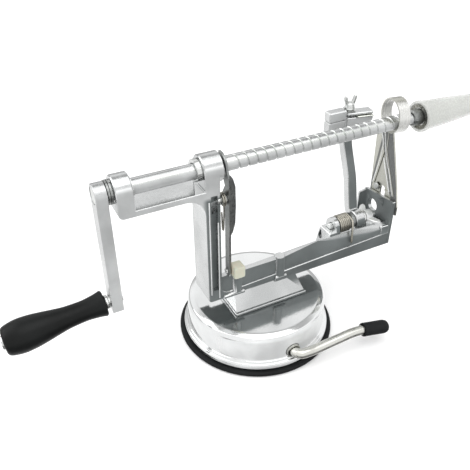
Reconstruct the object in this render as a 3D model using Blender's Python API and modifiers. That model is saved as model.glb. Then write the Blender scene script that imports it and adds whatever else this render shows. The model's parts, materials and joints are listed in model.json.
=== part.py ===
"""Apple peeler corer on a suction base: hand crank, lead screw, peeling arm and coring blade.

The frame's origin is the centre of the suction disc's flat underside. +X runs along the
shaft from the crank to the fork, +Z is up. Lengths below are millimetres.
"""

import math

import bmesh
import bpy
from mathutils import Matrix, Vector

MM = 0.001
GAP = 0.3
ROUND = 32
SMALL_ROUND = 20

# Shaft
SHAFT_Z = 130.0
SHAFT_RADIUS = 4.6
SHAFT_REAR = -98.4
THREAD_START = -19.0
THREAD_END = 100.5
THREAD_PITCH = 6.1
THREAD_STEPS = 15
GROOVE_WIDTH = 1.3
GROOVE_DEPTH = 0.8
NECK_RADIUS = 3.6
NECK_START = 103.2
NECK_END = 118.0
FORK_START = 112.3
FORK_RADIUS = 5.2
FORK_LENGTH = 9.0
PRONG_CIRCLE = 3.4
PRONG_RADIUS = 1.1
PRONG_TIP = 162.0
CAP_MOUTH = 118.4
CAP_END = 168.0

# Cast frame
HALF_WIDTH = 9.0
FRAME_FLOOR = 38.7
FLANGE_REAR = 43.2
FLANGE_FRONT = 49.0
COLUMN_BACK = -38.7
COLUMN_FRONT = -29.6
BRIDGE_TOP = 120.0
BRIDGE_BOTTOM = 116.3
REAR_BOSS_BACK = -88.6
REAR_BOSS_FRONT = -79.0
FRONT_BOSS_FRONT = -26.5
BUSH_RADIUS = 6.5
BORE_RADIUS = 4.95
BEAM_END = 104.0
PLATE_BACK = 101.2
WEB_NEAR = -8.0
WEB_FAR = -4.4
WEB_TOP = 56.0
MOUNT_HOLE = (10.8, 61.2)
MOUNT_HOLE_RADIUS = 4.8

# Suction base
DISC_RADIUS = 52.5
DISC_HEIGHT = 3.2
FLANGE_RADIUS = 49.4
DRUM_RADIUS = 46.5
DRUM_TOP = 28.2
DRUM_WALL = 1.5
ROD_X = 1.5
ROD_Z = 13.0
ROD_RADIUS = 3.2
CAM_THROW = 1.8
CAM_RADIUS = 5.0

# Crank
HUB_BACK = -98.6
HUB_FRONT = -92.0
ARM_HALF_WIDTH = 5.5
PIN_Z = 58.5
PIN_DROOP = math.radians(5.5)
ARM_FOOT = 52.5
PIN_RADIUS = 3.0
GRIP_START = 6.3
GRIP_END = 64.5

# Release lever
LEVER_BACK = -25.6
LEVER_FRONT = -24.2
LEVER_PIVOT = (-7.5, 112.0)

# Peeling arm
AXLE_Y = 3.0
AXLE_Z = 60.0
AXLE_RADIUS = 2.5
AXLE_BACK = 57.5
AXLE_FRONT = 96.0
LUG_BACK = 54.5
LUG_FRONT = 60.5
EYE_FRONT = 63.0
SPRING_START = 63.6
SPRING_END = 73.6
ARM_BACK = 77.3
ARM_FRONT = 84.3
ARM_THICK = 6.2
NUT_BACK = 87.2
NUT_TILT = math.radians(8.0)
HEAD_TURN = math.radians(-12.0)
HEAD_CENTRE = (75.5, 20.0)
CLAMP_SCREW = (78.2, 21.0)

# Coring blade
BLADE_BACK = 104.4
BLADE_FRONT = 105.6
RING_CENTRE = (2.6, 133.7)
RING_X = 101.3
RING_HALF_WIDTH = 3.8
RING_INNER = 10.6
RING_OUTER = 11.4
RING_TURN = math.radians(-9.0)
RIVET = (12.0, 75.9)


# ---------------------------------------------------------------- scene and materials

for thing in list(bpy.data.objects):
    bpy.data.objects.remove(thing)

PARTS = bpy.data.collections.new("apple_peeler_corer")
CUTTERS = bpy.data.collections.new("cutters")
for collection in (PARTS, CUTTERS):
    bpy.context.scene.collection.children.link(collection)


def material(name, colour, metallic, roughness):
    made = bpy.data.materials.new(name)
    made.use_nodes = True
    shader = made.node_tree.nodes["Principled BSDF"]
    shader.inputs["Base Color"].default_value = (*colour, 1.0)
    shader.inputs["Metallic"].default_value = metallic
    shader.inputs["Roughness"].default_value = roughness
    return made


CAST = material("cast_aluminium", (0.72, 0.73, 0.74), 1.0, 0.22)
CHROME = material("chrome", (0.80, 0.81, 0.82), 1.0, 0.10)
STEEL = material("steel", (0.62, 0.63, 0.63), 1.0, 0.28)
BLADE_STEEL = material("blade_steel", (0.55, 0.56, 0.55), 1.0, 0.22)
DARK_STEEL = material("dark_steel", (0.20, 0.21, 0.21), 1.0, 0.35)
SPRING_WIRE = material("spring_wire", (0.62, 0.58, 0.46), 1.0, 0.30)
NICKEL = material("nickel", (0.66, 0.64, 0.58), 1.0, 0.25)
BLACK_RUBBER = material("black_rubber", (0.012, 0.013, 0.015), 0.0, 0.55)
BLACK_GRIP = material("black_grip", (0.012, 0.013, 0.013), 0.0, 0.35)
CREAM = material("cream_plastic", (0.62, 0.60, 0.48), 0.0, 0.45)
CLEAR = material("clear_plastic", (0.85, 0.86, 0.86), 0.0, 0.25)


# ---------------------------------------------------------------- shape helpers

def place(thing, surface, cutter=False):
    """Links an object to its collection and gives it its material."""
    (CUTTERS if cutter else PARTS).objects.link(thing)
    if surface:
        thing.data.materials.append(surface)
    if cutter:
        thing.hide_render = True
        thing.display_type = "WIRE"
    return thing


def bevel(thing, width, segments=1):
    rounded = thing.modifiers.new("Edges", "BEVEL")
    rounded.width = width * MM
    rounded.segments = segments
    rounded.limit_method = "ANGLE"
    return thing


def box(name, low, high, surface, edge=0.0, cutter=False, segments=1):
    """A block between two corners, with rounded edges."""
    shape = bmesh.new()
    bmesh.ops.create_cube(shape, size=1.0)
    size = Vector(high) - Vector(low)
    bmesh.ops.scale(shape, vec=size * MM, verts=shape.verts)
    mesh = bpy.data.meshes.new(name)
    shape.to_mesh(mesh)
    shape.free()
    thing = place(bpy.data.objects.new(name, mesh), surface, cutter)
    thing.location = (Vector(low) + Vector(high)) * 0.5 * MM
    if edge:
        bevel(thing, edge, segments)
    return thing


AXES = {
    "X": Matrix.Rotation(math.pi / 2, 4, "Y"),
    "Y": Matrix.Rotation(-math.pi / 2, 4, "X"),
    "Z": Matrix.Identity(4),
}


def turned(name, profile, at, surface, axis="X", steps=ROUND, cutter=False):
    """A turned solid from (radius, distance along the axis), down the outer side from low to high.

    A profile that ends off the axis is closed into a sleeve. Two points in a row on the axis
    leave the axis open between them, which makes a blind bore.
    """
    points = [Vector((radius * MM, 0.0, along * MM)) for radius, along in reversed(profile)]
    pairs = [(i, (i + 1) % len(points)) for i in range(len(points))]
    edges = [(i, j) for i, j in pairs if points[i].x > 0 or points[j].x > 0]
    mesh = bpy.data.meshes.new(name)
    mesh.from_pydata(points, edges, [])
    thing = place(bpy.data.objects.new(name, mesh), surface, cutter)
    turn = AXES[axis] if isinstance(axis, str) else axis
    thing.matrix_world = Matrix.Translation(Vector(at) * MM) @ turn
    screw = thing.modifiers.new("Turn", "SCREW")
    screw.steps = steps
    screw.render_steps = steps
    screw.use_merge_vertices = True
    screw.merge_threshold = 1e-6
    screw.use_smooth_shade = True
    return thing


def rod(name, radius, start, end, at, surface, axis="X", steps=SMALL_ROUND, cutter=False, edge=0.0):
    """A plain cylinder along its axis, with an optional chamfer at both ends."""
    profile = [(0.0, start), (radius - edge, start), (radius, start + edge)]
    profile += [(radius, end - edge), (radius - edge, end), (0.0, end)]
    if not edge:
        profile = [(0.0, start), (radius, start), (radius, end), (0.0, end)]
    return turned(name, profile, at, surface, axis, steps, cutter)


def ring(name, inner, outer, start, end, at, surface, axis="X", steps=ROUND, cutter=False):
    """A washer or a sleeve."""
    profile = [(outer, start), (outer, end), (inner, end), (inner, start)]
    return turned(name, profile, at, surface, axis, steps, cutter)


def as_mesh(thing):
    """Turns a curve into a closed mesh object of the same name and place."""
    bpy.context.view_layer.update()
    graph = bpy.context.evaluated_depsgraph_get()
    mesh = bpy.data.meshes.new_from_object(thing.evaluated_get(graph))
    welded = bmesh.new()
    welded.from_mesh(mesh)
    bmesh.ops.remove_doubles(welded, verts=welded.verts, dist=1e-6)
    bmesh.ops.recalc_face_normals(welded, faces=welded.faces)
    welded.to_mesh(mesh)
    welded.free()
    name = thing.name
    world = thing.matrix_world.copy()
    surface = thing.data.materials[0] if thing.data.materials else None
    cutter = thing.hide_render
    bpy.data.objects.remove(thing)
    solid = bpy.data.objects.new(name, mesh)
    solid.name = name
    place(solid, None, cutter)
    mesh.materials.clear()
    if surface:
        mesh.materials.append(surface)
    solid.matrix_world = world
    return solid


PLANES = {
    "YZ": Matrix(((0, 0, 1, 0), (1, 0, 0, 0), (0, 1, 0, 0), (0, 0, 0, 1))),
    "XZ": Matrix.Rotation(math.pi / 2, 4, "X"),
    "XY": Matrix.Identity(4),
}


def plate(name, outline, start, end, surface, plane="YZ", edge=0.0, cutter=False):
    """A flat outline with a thickness, from start to end across its plane."""
    curve = bpy.data.curves.new(name, "CURVE")
    curve.dimensions = "2D"
    curve.fill_mode = "BOTH"
    curve.extrude = (end - start) / 2 * MM
    spline = curve.splines.new("POLY")
    spline.points.add(len(outline) - 1)
    for point, (across, up) in zip(spline.points, outline):
        point.co = (across * MM, up * MM, 0.0, 1.0)
    spline.use_cyclic_u = True
    thing = place(bpy.data.objects.new(name, curve), surface, cutter)
    middle = (start + end) / 2 * MM
    shift = {"YZ": (middle, 0, 0), "XZ": (0, middle, 0), "XY": (0, 0, middle)}[plane]
    thing.matrix_world = Matrix.Translation(shift) @ PLANES[plane]
    solid = as_mesh(thing)
    return bevel(solid, edge) if edge else solid


def wire(name, points, radius, surface, resolution=2, cutter=False):
    """A round wire or rod along a line of points, with closed ends."""
    curve = bpy.data.curves.new(name, "CURVE")
    curve.dimensions = "3D"
    curve.bevel_depth = radius * MM
    curve.bevel_resolution = resolution
    curve.use_fill_caps = True
    spline = curve.splines.new("POLY")
    spline.points.add(len(points) - 1)
    for point, position in zip(spline.points, points):
        point.co = (*(Vector(position) * MM), 1.0)
    return as_mesh(place(bpy.data.objects.new(name, curve), surface, cutter))


def boolean(thing, other, operation):
    change = thing.modifiers.new(operation.title(), "BOOLEAN")
    change.operation = operation
    change.object = other
    return thing


def cut(thing, *cutters):
    for cutter in cutters:
        boolean(thing, cutter, "DIFFERENCE")
    return thing


def join(thing, *others):
    for other in others:
        boolean(thing, other, "UNION")
    return thing


def arc(centre, radius, start, end, count):
    """Points on an arc, angles in degrees."""
    angles = [math.radians(start + (end - start) * i / count) for i in range(count + 1)]
    return [(centre[0] + radius * math.cos(a), centre[1] + radius * math.sin(a)) for a in angles]


def smooth(points, count):
    """A Catmull-Rom curve through the points, with count steps in each span."""
    ends = [points[0], *points, points[-1]]
    found = []
    for before, start, end, after in zip(ends, ends[1:], ends[2:], ends[3:]):
        for i in range(count):
            t = i / count
            found.append([
                0.5 * (2 * b + (c - a) * t + (2 * a - 5 * b + 4 * c - d) * t * t
                       + (3 * b - a - 3 * c + d) * t ** 3)
                for a, b, c, d in zip(before, start, end, after)
            ])
    return found + [list(points[-1])]



def joint_empty(name, at):
    """An empty on a joint's axis, which its moving pieces are parented to."""
    empty = bpy.data.objects.new(name, None)
    empty.location = Vector(at) * MM
    PARTS.objects.link(empty)
    return empty


def attach(parent, *things):
    bpy.context.view_layer.update()
    for thing in things:
        world = thing.matrix_world.copy()
        thing.parent = parent
        thing.matrix_parent_inverse = parent.matrix_world.inverted()
        thing.matrix_world = world


# ---------------------------------------------------------------- cast frame

def loft(name, sections, surface, cutter=False):
    """A solid along X through equal rings of (y, z) points, one ring for each x."""
    shape = bmesh.new()
    rings = []
    for x, outline in sections:
        verts = [shape.verts.new(Vector((x, y, z)) * MM) for y, z in outline]
        rings.append([shape.edges.new((a, b)) for a, b in zip(verts, verts[1:] + verts[:1])])
    for first, second in zip(rings, rings[1:]):
        bmesh.ops.bridge_loops(shape, edges=first + second)
    bmesh.ops.holes_fill(shape, edges=rings[0] + rings[-1], sides=0)
    bmesh.ops.recalc_face_normals(shape, faces=shape.faces)
    mesh = bpy.data.meshes.new(name)
    shape.to_mesh(mesh)
    shape.free()
    return place(bpy.data.objects.new(name, mesh), surface, cutter)


def flange_top(x):
    """The beam's lower flange grows taller towards the blade."""
    return FLANGE_REAR + (FLANGE_FRONT - FLANGE_REAR) * (x - COLUMN_FRONT) / (BEAM_END - COLUMN_FRONT)


def cast_frame():
    lug_top = SHAFT_Z - 0.8
    side = [(REAR_BOSS_BACK, lug_top), (REAR_BOSS_BACK, BRIDGE_BOTTOM + 3)]
    side += arc((REAR_BOSS_BACK + 3, BRIDGE_BOTTOM + 3), 3, 180, 270, 3)
    side += arc((COLUMN_BACK - 12, BRIDGE_BOTTOM - 12), 12, 90, 0, 6)
    side += [(COLUMN_BACK, FRAME_FLOOR + 1.5), (COLUMN_BACK + 1.5, FRAME_FLOOR)]
    side += [(BEAM_END, FRAME_FLOOR), (BEAM_END, FLANGE_FRONT)]
    side += arc((COLUMN_FRONT + 5, FLANGE_REAR + 5), 5, 270, 180, 4)
    side += [(COLUMN_FRONT, lug_top), (COLUMN_BACK, lug_top), (COLUMN_BACK, BRIDGE_TOP)]
    side += [(REAR_BOSS_FRONT, BRIDGE_TOP), (REAR_BOSS_FRONT, lug_top)]
    frame = plate("cast_frame", side, -HALF_WIDTH, HALF_WIDTH, CAST, "XZ", edge=0.6)

    back_half = box("column_back", (COLUMN_BACK + 0.2, 8.0, FRAME_FLOOR + 0.5), (COLUMN_FRONT - 0.2, 12.5, 115.5),
                    None, edge=0.6, cutter=True)
    gusset = box("bridge_gusset", (-45.0, -8.5, BRIDGE_TOP - 2.2), (-37.1, -7.3, 128.1), None, cutter=True)
    bead = wire("gusset_bead", [(-43.6, -8.6, 127.3), (-39.4, -8.6, 121.3)], 0.75, None, 1, cutter=True)
    join(frame, gusset, bead)
    inset = 0.03
    for name, back, front in (("rear_boss", REAR_BOSS_BACK + inset, REAR_BOSS_FRONT - inset),
                              ("front_boss", COLUMN_BACK + inset, FRONT_BOSS_FRONT)):
        join(frame, rod(name, HALF_WIDTH - inset, back, front, (0, 0, SHAFT_Z), None, steps=ROUND, cutter=True,
                        edge=0.6))
    join(frame, back_half)
    join(frame, beam_web(), *web_bosses(), *end_bracket(), *axle_bearing(), pedestal())

    pocket = box("column_pocket", (-35.6, -HALF_WIDTH - 1, 47.5), (-31.5, -HALF_WIDTH + 3.0, 116.5), None,
                 cutter=True)
    slot = [*arc((-33.5, 109.0), 1.8, 0, 180, 6), *arc((-33.5, 104.5), 1.8, 180, 360, 6)]
    slot_hole = plate("column_slot", slot, -HALF_WIDTH - 1, HALF_WIDTH + 5, None, "XZ", cutter=True)
    mount_hole = rod("mount_hole", MOUNT_HOLE_RADIUS, 92.0, 110.0, (0, *MOUNT_HOLE), None, cutter=True)
    axle_hole = rod("axle_hole", AXLE_RADIUS + GAP, AXLE_BACK - GAP, EYE_FRONT + 2, (0, AXLE_Y, AXLE_Z), None,
                    cutter=True)
    pivot_hole = rod("pivot_hole", 2.3, COLUMN_FRONT - 3, COLUMN_FRONT + 2, (0, *LEVER_PIVOT), None, cutter=True)
    cut(frame, pocket, slot_hole, mount_hole, axle_hole, pivot_hole)
    for x in BASE_SCREWS:
        cut(frame, rod("base_screw_hole", 2.2, 25.0, 37.0, (x, 0, 0), None, "Z", cutter=True))
    for position in BLADE_SCREWS:
        cut(frame, rod("blade_screw_hole", 1.9, PLATE_BACK + 0.5, 110.0, (0, *position), None, cutter=True))
    bore = rod("bore", BUSH_RADIUS + GAP, REAR_BOSS_BACK - 5, FRONT_BOSS_FRONT + 5, (0, 0, SHAFT_Z), None,
               steps=ROUND, cutter=True)
    return cut(frame, bore)


def beam_web():
    """The thin wall along the beam, plain at the column and chamfered from the boss onwards."""
    foot = FRAME_FLOOR + 3
    plain = [(WEB_NEAR, foot), (WEB_NEAR, 51.3), (WEB_NEAR, WEB_TOP), (WEB_FAR, WEB_TOP), (WEB_FAR, foot)]
    sections = [(COLUMN_FRONT - 2, plain), (16.0, plain)]
    for x, top in ((44.0, 57.6), (72.0, 57.2), (BEAM_END - 1, 55.9)):
        sections.append((x, [(WEB_NEAR, foot), (WEB_NEAR, 51.3), (WEB_FAR - 0.4, top), (WEB_FAR, top),
                             (WEB_FAR, foot)]))
    return loft("beam_web", sections, None, cutter=True)


def web_bosses():
    """Two upright bosses on the web. The flange's ledge steps down and out round each of them."""
    made = []
    for x, top, step_back in ((-18.5, 53.5, -29.0), (13.0, 57.8, 8.6)):
        step_top = flange_top(x) - 1.8
        made.append(rod("web_boss", 3.6, step_top - 1, top, (x, -7.0, 0), None, "Z", cutter=True, edge=0.4))
        made.append(box("ledge_step", (step_back, -10.9, FRAME_FLOOR + 0.7), (x + 4.6, -6.0, step_top), None,
                        edge=0.7, cutter=True))
    return made


def end_bracket():
    """The plate across the beam's end that carries the blade, with its edge lip and a small rib."""
    corner = box("corner", (95.5, -HALF_WIDTH + 0.15, FRAME_FLOOR + 0.4), (BEAM_END - 0.6, HALF_WIDTH - 0.4, 55.0),
                 None, edge=0.8, cutter=True)
    outline = [(-HALF_WIDTH - 0.2, FRAME_FLOOR + 0.3), (HALF_WIDTH + 0.2, FRAME_FLOOR + 0.3), (21.5, 52.0)]
    outline += [(21.5, 70.3), (-HALF_WIDTH - 0.2, 73.7)]
    face = plate("end_plate", outline, PLATE_BACK, BEAM_END + 0.1, None, "YZ", edge=0.5, cutter=True)
    lip = plate("lip", [(95.2, 50.5), (PLATE_BACK + 1, 50.5), (PLATE_BACK + 1, 69.9), (95.2, 68.4)], 19.4, 21.3, None,
                "XZ", edge=0.3, cutter=True)
    rib = plate("rib", [(PLATE_BACK + 1, 63.5), (PLATE_BACK + 1, 71.8), (98.0, 71.8)], 0.4, 2.0, None, "XZ",
                cutter=True)
    return corner, face, lip, rib


def axle_bearing():
    """The block on the beam and the upright eye that hold the peeling arm's axle."""
    floor = FRAME_FLOOR + 4
    outline = [(WEB_FAR - 0.1, floor), (11.9, floor), (11.8, 45.3), (8.4, 59.1), (WEB_FAR - 0.1, 59.1)]
    block = plate("axle_block", outline, LUG_BACK, LUG_FRONT, None, "YZ", edge=0.4, cutter=True)
    drop = [*arc((7.2, 51.2), 2.2, 150, 390, 8), (7.6, 56.4), (6.6, 56.4)]
    recess = plate("block_recess", drop, LUG_BACK - 1, LUG_BACK + 2.5, None, "YZ", cutter=True)
    cut(block, recess)
    eye = [(WEB_FAR + 0.2, floor), (9.0, floor), (9.2, AXLE_Z)]
    eye += arc((AXLE_Y, AXLE_Z), 6.2, 0, 180, 8) + [(WEB_FAR + 0.2, AXLE_Z - 3)]
    upright = plate("axle_eye", eye, LUG_FRONT - 0.4, EYE_FRONT, None, "YZ", cutter=True)
    return block, upright


def pedestal():
    """The casting's foot: a low block whose long sides slope in to the beam."""
    foot = box("pedestal", (-24.0, -18.0, DRUM_TOP + GAP), (28.0, 18.0, FRAME_FLOOR + 2.5), None, cutter=True)
    shape = bmesh.new()
    shape.from_mesh(foot.data)
    bmesh.ops.scale(shape, vec=(0.86, 0.44, 1.0), verts=[vert for vert in shape.verts if vert.co.z > 0])
    shape.to_mesh(foot.data)
    shape.free()
    base = box("pedestal_base", (-24.3, -18.3, DRUM_TOP + GAP + 0.02), (28.3, 18.3, DRUM_TOP + 2.3), None, edge=0.5,
               cutter=True)
    return join(foot, base)


def bushings():
    """Flanged sleeves that the shaft slides and turns in."""
    profile = [(BUSH_RADIUS, REAR_BOSS_BACK + 0.5), (BUSH_RADIUS, REAR_BOSS_FRONT + 0.8)]
    profile += [(BORE_RADIUS, REAR_BOSS_FRONT + 0.8), (BORE_RADIUS, REAR_BOSS_BACK + 0.5)]
    turned("rear_bushing", profile, (0, 0, SHAFT_Z), STEEL)
    profile = [(7.0, COLUMN_BACK - 3.2), (7.0, COLUMN_BACK - 0.7), (BUSH_RADIUS, COLUMN_BACK - 0.7)]
    profile += [(BUSH_RADIUS, FRONT_BOSS_FRONT - 0.5), (BORE_RADIUS, FRONT_BOSS_FRONT - 0.5)]
    profile += [(BORE_RADIUS, COLUMN_BACK - 3.2)]
    turned("front_bushing", profile, (0, 0, SHAFT_Z), STEEL)


BASE_SCREWS = (-14.0, 18.0)
BLADE_SCREWS = ((-3.5, 66.0), (17.0, 66.5))


def base_screws():
    for name, x in zip(("base_screw_rear", "base_screw_front"), BASE_SCREWS):
        profile = [(0.0, 23.4), (3.6, 23.4), (4.2, 24.2), (4.2, 26.1), (1.9, 26.1), (1.9, 36.4), (0.0, 36.4)]
        turned(name, profile, (x, 0, 0), STEEL, "Z", SMALL_ROUND)


# ---------------------------------------------------------------- suction base

def suction_base():
    edge = 1.0
    profile = [(0.0, 0.0), (DISC_RADIUS - edge, 0.0), (DISC_RADIUS, edge), (DISC_RADIUS, DISC_HEIGHT - edge)]
    profile += [(DISC_RADIUS - edge, DISC_HEIGHT), (0.0, DISC_HEIGHT)]
    disc = turned("suction_disc", profile, (0, 0, 0), BLACK_RUBBER, "Z", 56)

    low = DISC_HEIGHT + GAP
    outer = [(FLANGE_RADIUS - 0.9, low), (FLANGE_RADIUS, low + 0.9), (FLANGE_RADIUS, 6.3), (FLANGE_RADIUS - 0.9, 7.2)]
    outer += [(DRUM_RADIUS + 0.4, 7.6), (DRUM_RADIUS, 9.2), (DRUM_RADIUS, 24.4)]
    outer += [(DRUM_RADIUS - 4 + r, z) for r, z in arc((0.0, 24.2), 4.0, 15, 90, 5)]
    outer += [(0.0, DRUM_TOP)]
    inner = [(0.0, DRUM_TOP - DRUM_WALL)]
    inner += [(DRUM_RADIUS - 4 + r, z) for r, z in reversed(arc((0.0, 24.2), 4.0 - DRUM_WALL, 0, 90, 4))]
    inner += [(DRUM_RADIUS - DRUM_WALL, 9.0), (DRUM_RADIUS - 0.6, 6.2), (FLANGE_RADIUS - 2.4, 5.6)]
    inner += [(FLANGE_RADIUS - 2.4, low)]
    drum = turned("suction_drum", outer + inner, (0, 0, 0), CHROME, "Z", 48)
    rod_hole = rod("rod_hole", 5.0, -60.0, -38.0, (ROD_X, 0, ROD_Z), None, "Y", cutter=True)
    cut(drum, rod_hole)
    for x in BASE_SCREWS:
        cut(drum, rod("drum_screw_hole", 2.4, 20.0, 32.0, (x, 0, 0), None, "Z", cutter=True))

    profile = [(4.7, -47.8), (4.7, -42.6), (3.9, -42.6), (3.9, -47.8)]
    grommet = turned("rod_grommet", profile, (ROD_X, 0, ROD_Z), NICKEL, "Y", SMALL_ROUND)
    return disc, drum, grommet


def suction_lever():
    """The bent rod, its cam inside the drum and its rubber tip."""
    route = [(0, 12.0, 0), (0, -44.0, 0), (0.4, -48.6, 0), (2.6, -51.8, 0), (7.0, -52.6, 0), (14.0, -52.5, -0.3)]
    route += [(30.0, -52.2, 0.3), (43.0, -52.1, 0.7), (54.0, -52.8, -0.2), (61.0, -53.6, -1.4)]
    bend = smooth(route[1:], 3)
    path = [(x + ROD_X, y, z + ROD_Z) for x, y, z in [route[0], *bend]]
    bar = wire("suction_rod", path, ROD_RADIUS, NICKEL, 3)
    cam = rod("cam", CAM_RADIUS, -3.6, 3.6, (ROD_X, 0, ROD_Z - CAM_THROW), None, "Y", cutter=True)
    join(bar, cam)

    start = Vector((50.0, -52.45, 0.2))
    end = Vector((69.5, -54.7, -2.6))
    along = (end - start).normalized()
    turn = along.to_track_quat("Z", "Y").to_matrix().to_4x4()
    at = start + Vector((ROD_X, 0, ROD_Z))
    length = (end - start).length
    bore = length - 6.5
    profile = [(4.3, 0.0), (4.6, 0.8), (4.6, length - 3.2), (3.8, length - 1.2), (2.1, length), (0.0, length)]
    profile += [(0.0, bore), (3.8, bore), (3.8, 0.0)]
    tip = turned("lever_tip", profile, at, BLACK_RUBBER, turn, SMALL_ROUND)
    pivot = joint_empty("suction_lever_axis", (ROD_X, 0, ROD_Z))
    attach(pivot, bar, tip)

    stud = box("lift_stud", (ROD_X - 9.2, -5.0, 3.6), (ROD_X + 9.2, 5.0, 19.2), STEEL, edge=0.6)
    low = ROD_Z - CAM_THROW - CAM_RADIUS - 0.6
    high = ROD_Z - CAM_THROW + CAM_RADIUS + 0.6
    window = box("stud_window", (ROD_X - 7.4, -8.0, low), (ROD_X + 7.4, 8.0, high), None, cutter=True)
    foot = rod("stud_foot", 11.0, 3.61, 5.2, (ROD_X, 0, 0), None, "Z", ROUND, cutter=True)
    join(stud, foot)
    cut(stud, window)
    return stud


# ---------------------------------------------------------------- shaft, fork and cap

def threaded_shaft():
    """The plain shaft with one helical groove, built as a loft because the groove's ends run out."""
    shape = bmesh.new()
    turns = int((THREAD_END - THREAD_START) / THREAD_PITCH)
    count = turns * THREAD_STEPS
    groove = ((0.0, 0.0), (0.25, 1.0), (0.75, 1.0), (1.0, 0.0))

    def point(step, along, radius):
        angle = 2 * math.pi * step / THREAD_STEPS
        return shape.verts.new((along * MM, radius * math.cos(angle) * MM, radius * math.sin(angle) * MM))

    def end_ring(along, radius):
        return [point(step, along, radius) for step in range(THREAD_STEPS)]

    rows = []
    for step in range(count + 1):
        fade = min(1.0, step / 6, (count - step) / 6)
        along = THREAD_START + THREAD_PITCH * step / THREAD_STEPS
        rows.append([point(step, along + GROOVE_WIDTH * across, SHAFT_RADIUS - GROOVE_DEPTH * fade * depth)
                     for across, depth in groove])

    rear = [end_ring(SHAFT_REAR, SHAFT_RADIUS - 0.5), end_ring(SHAFT_REAR + 0.5, SHAFT_RADIUS),
            end_ring(THREAD_START - 3.0, SHAFT_RADIUS)]
    front = [end_ring(THREAD_END + 1.9, SHAFT_RADIUS), end_ring(NECK_START, SHAFT_RADIUS - 0.6),
             end_ring(NECK_START + 0.01, NECK_RADIUS), end_ring(NECK_END, NECK_RADIUS)]

    def face(*corners):
        shape.faces.new(corners)

    def bridge(first, second):
        for i in range(THREAD_STEPS):
            j = (i + 1) % THREAD_STEPS
            face(first[i], first[j], second[j], second[i])

    for first, second in (*zip(rear, rear[1:]), *zip(front, front[1:])):
        bridge(first, second)
    shape.faces.new(list(reversed(rear[0])))
    shape.faces.new(front[-1])
    for step in range(count):
        for a, b in zip(range(3), range(1, 4)):
            face(rows[step][a], rows[step + 1][a], rows[step + 1][b], rows[step][b])
        if step + THREAD_STEPS < count:
            near, far = rows[step + THREAD_STEPS], rows[step + THREAD_STEPS + 1]
            face(rows[step][3], rows[step + 1][3], far[0], near[0])
    plain = rear[-1]
    for i in range(THREAD_STEPS - 1):
        face(plain[i], plain[i + 1], rows[i + 1][0], rows[i][0])
    face(plain[-1], plain[0], *rows[0], rows[THREAD_STEPS][0], rows[THREAD_STEPS - 1][0])
    plain = front[0]
    last = count - THREAD_STEPS
    face(rows[last][3], rows[last + 1][3], plain[1], plain[0], *reversed(rows[count]))
    for i in range(1, THREAD_STEPS - 1):
        face(rows[last + i][3], rows[last + i + 1][3], plain[i + 1], plain[i])
    face(rows[count - 1][3], rows[count][3], plain[0], plain[-1])
    bmesh.ops.recalc_face_normals(shape, faces=shape.faces)
    mesh = bpy.data.meshes.new("screw_shaft")
    shape.to_mesh(mesh)
    shape.free()
    shaft = place(bpy.data.objects.new("screw_shaft", mesh), STEEL)
    shaft.location = (0, 0, SHAFT_Z * MM)
    return shaft


def fork():
    front = FORK_START + FORK_LENGTH
    bore = NECK_END + GAP
    profile = [(FORK_RADIUS - 0.8, FORK_START), (FORK_RADIUS, FORK_START + 0.8), (FORK_RADIUS, front - 1.2)]
    profile += [(FORK_RADIUS - 1.2, front), (0.0, front), (0.0, bore), (NECK_RADIUS + GAP, bore)]
    profile += [(NECK_RADIUS + GAP, FORK_START)]
    hub = turned("fork_hub", profile, (0, 0, SHAFT_Z), DARK_STEEL, steps=24)
    prongs = []
    for i in range(3):
        angle = math.radians(90 + 120 * i)
        at = (0, PRONG_CIRCLE * math.cos(angle), SHAFT_Z + PRONG_CIRCLE * math.sin(angle))
        socket = rod("prong_socket", PRONG_RADIUS + GAP, front - 2.5, front + 3, at, None, steps=12, cutter=True)
        cut(hub, socket)
        start = front - 2.2
        profile = [(0.0, start), (PRONG_RADIUS, start), (PRONG_RADIUS, PRONG_TIP - 13), (0.9, PRONG_TIP - 5)]
        profile += [(0.25, PRONG_TIP), (0.0, PRONG_TIP)]
        prongs.append(turned(f"fork_prong_{i + 1}", profile, at, STEEL, steps=12))
    return hub, *prongs


def cap():
    """The guard over the prongs, tapered, with a dark collar inside its mouth."""
    outer = [(9.7, CAP_MOUTH), (10.3, CAP_MOUTH + 0.6), (10.3, CAP_MOUTH + 2.6), (9.8, CAP_MOUTH + 3.2)]
    outer += [(9.5, 127.0), (8.8, 140.0), (7.4, 158.0), (6.8, CAP_END - 2.6), (5.6, CAP_END - 0.5), (3.8, CAP_END)]
    outer += [(0.0, CAP_END)]
    inner = [(0.0, CAP_END - 1.5), (4.4, CAP_END - 2.0), (5.6, CAP_END - 3.6), (6.2, 158.0)]
    inner += [(7.6, 140.0), (8.4, 127.0), (8.8, CAP_MOUTH)]
    shell = turned("prong_cap", outer + inner, (0, 0, SHAFT_Z), CLEAR, steps=28)
    hole = FORK_RADIUS + 0.6
    profile = [(8.3, CAP_MOUTH + 0.6), (8.3, CAP_MOUTH + 2.4), (hole, CAP_MOUTH + 2.4), (hole, CAP_MOUTH + 0.6)]
    return shell, turned("cap_collar", profile, (0, 0, SHAFT_Z), DARK_STEEL)


def thrust_washers():
    first = ring("thrust_washer_inner", BORE_RADIUS, 6.9, -90.3, -89.3, (0, 0, SHAFT_Z), DARK_STEEL)
    second = ring("thrust_washer_outer", BORE_RADIUS, 6.9, -91.7, -90.7, (0, 0, SHAFT_Z), DARK_STEEL)
    return first, second


# ---------------------------------------------------------------- crank

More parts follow.
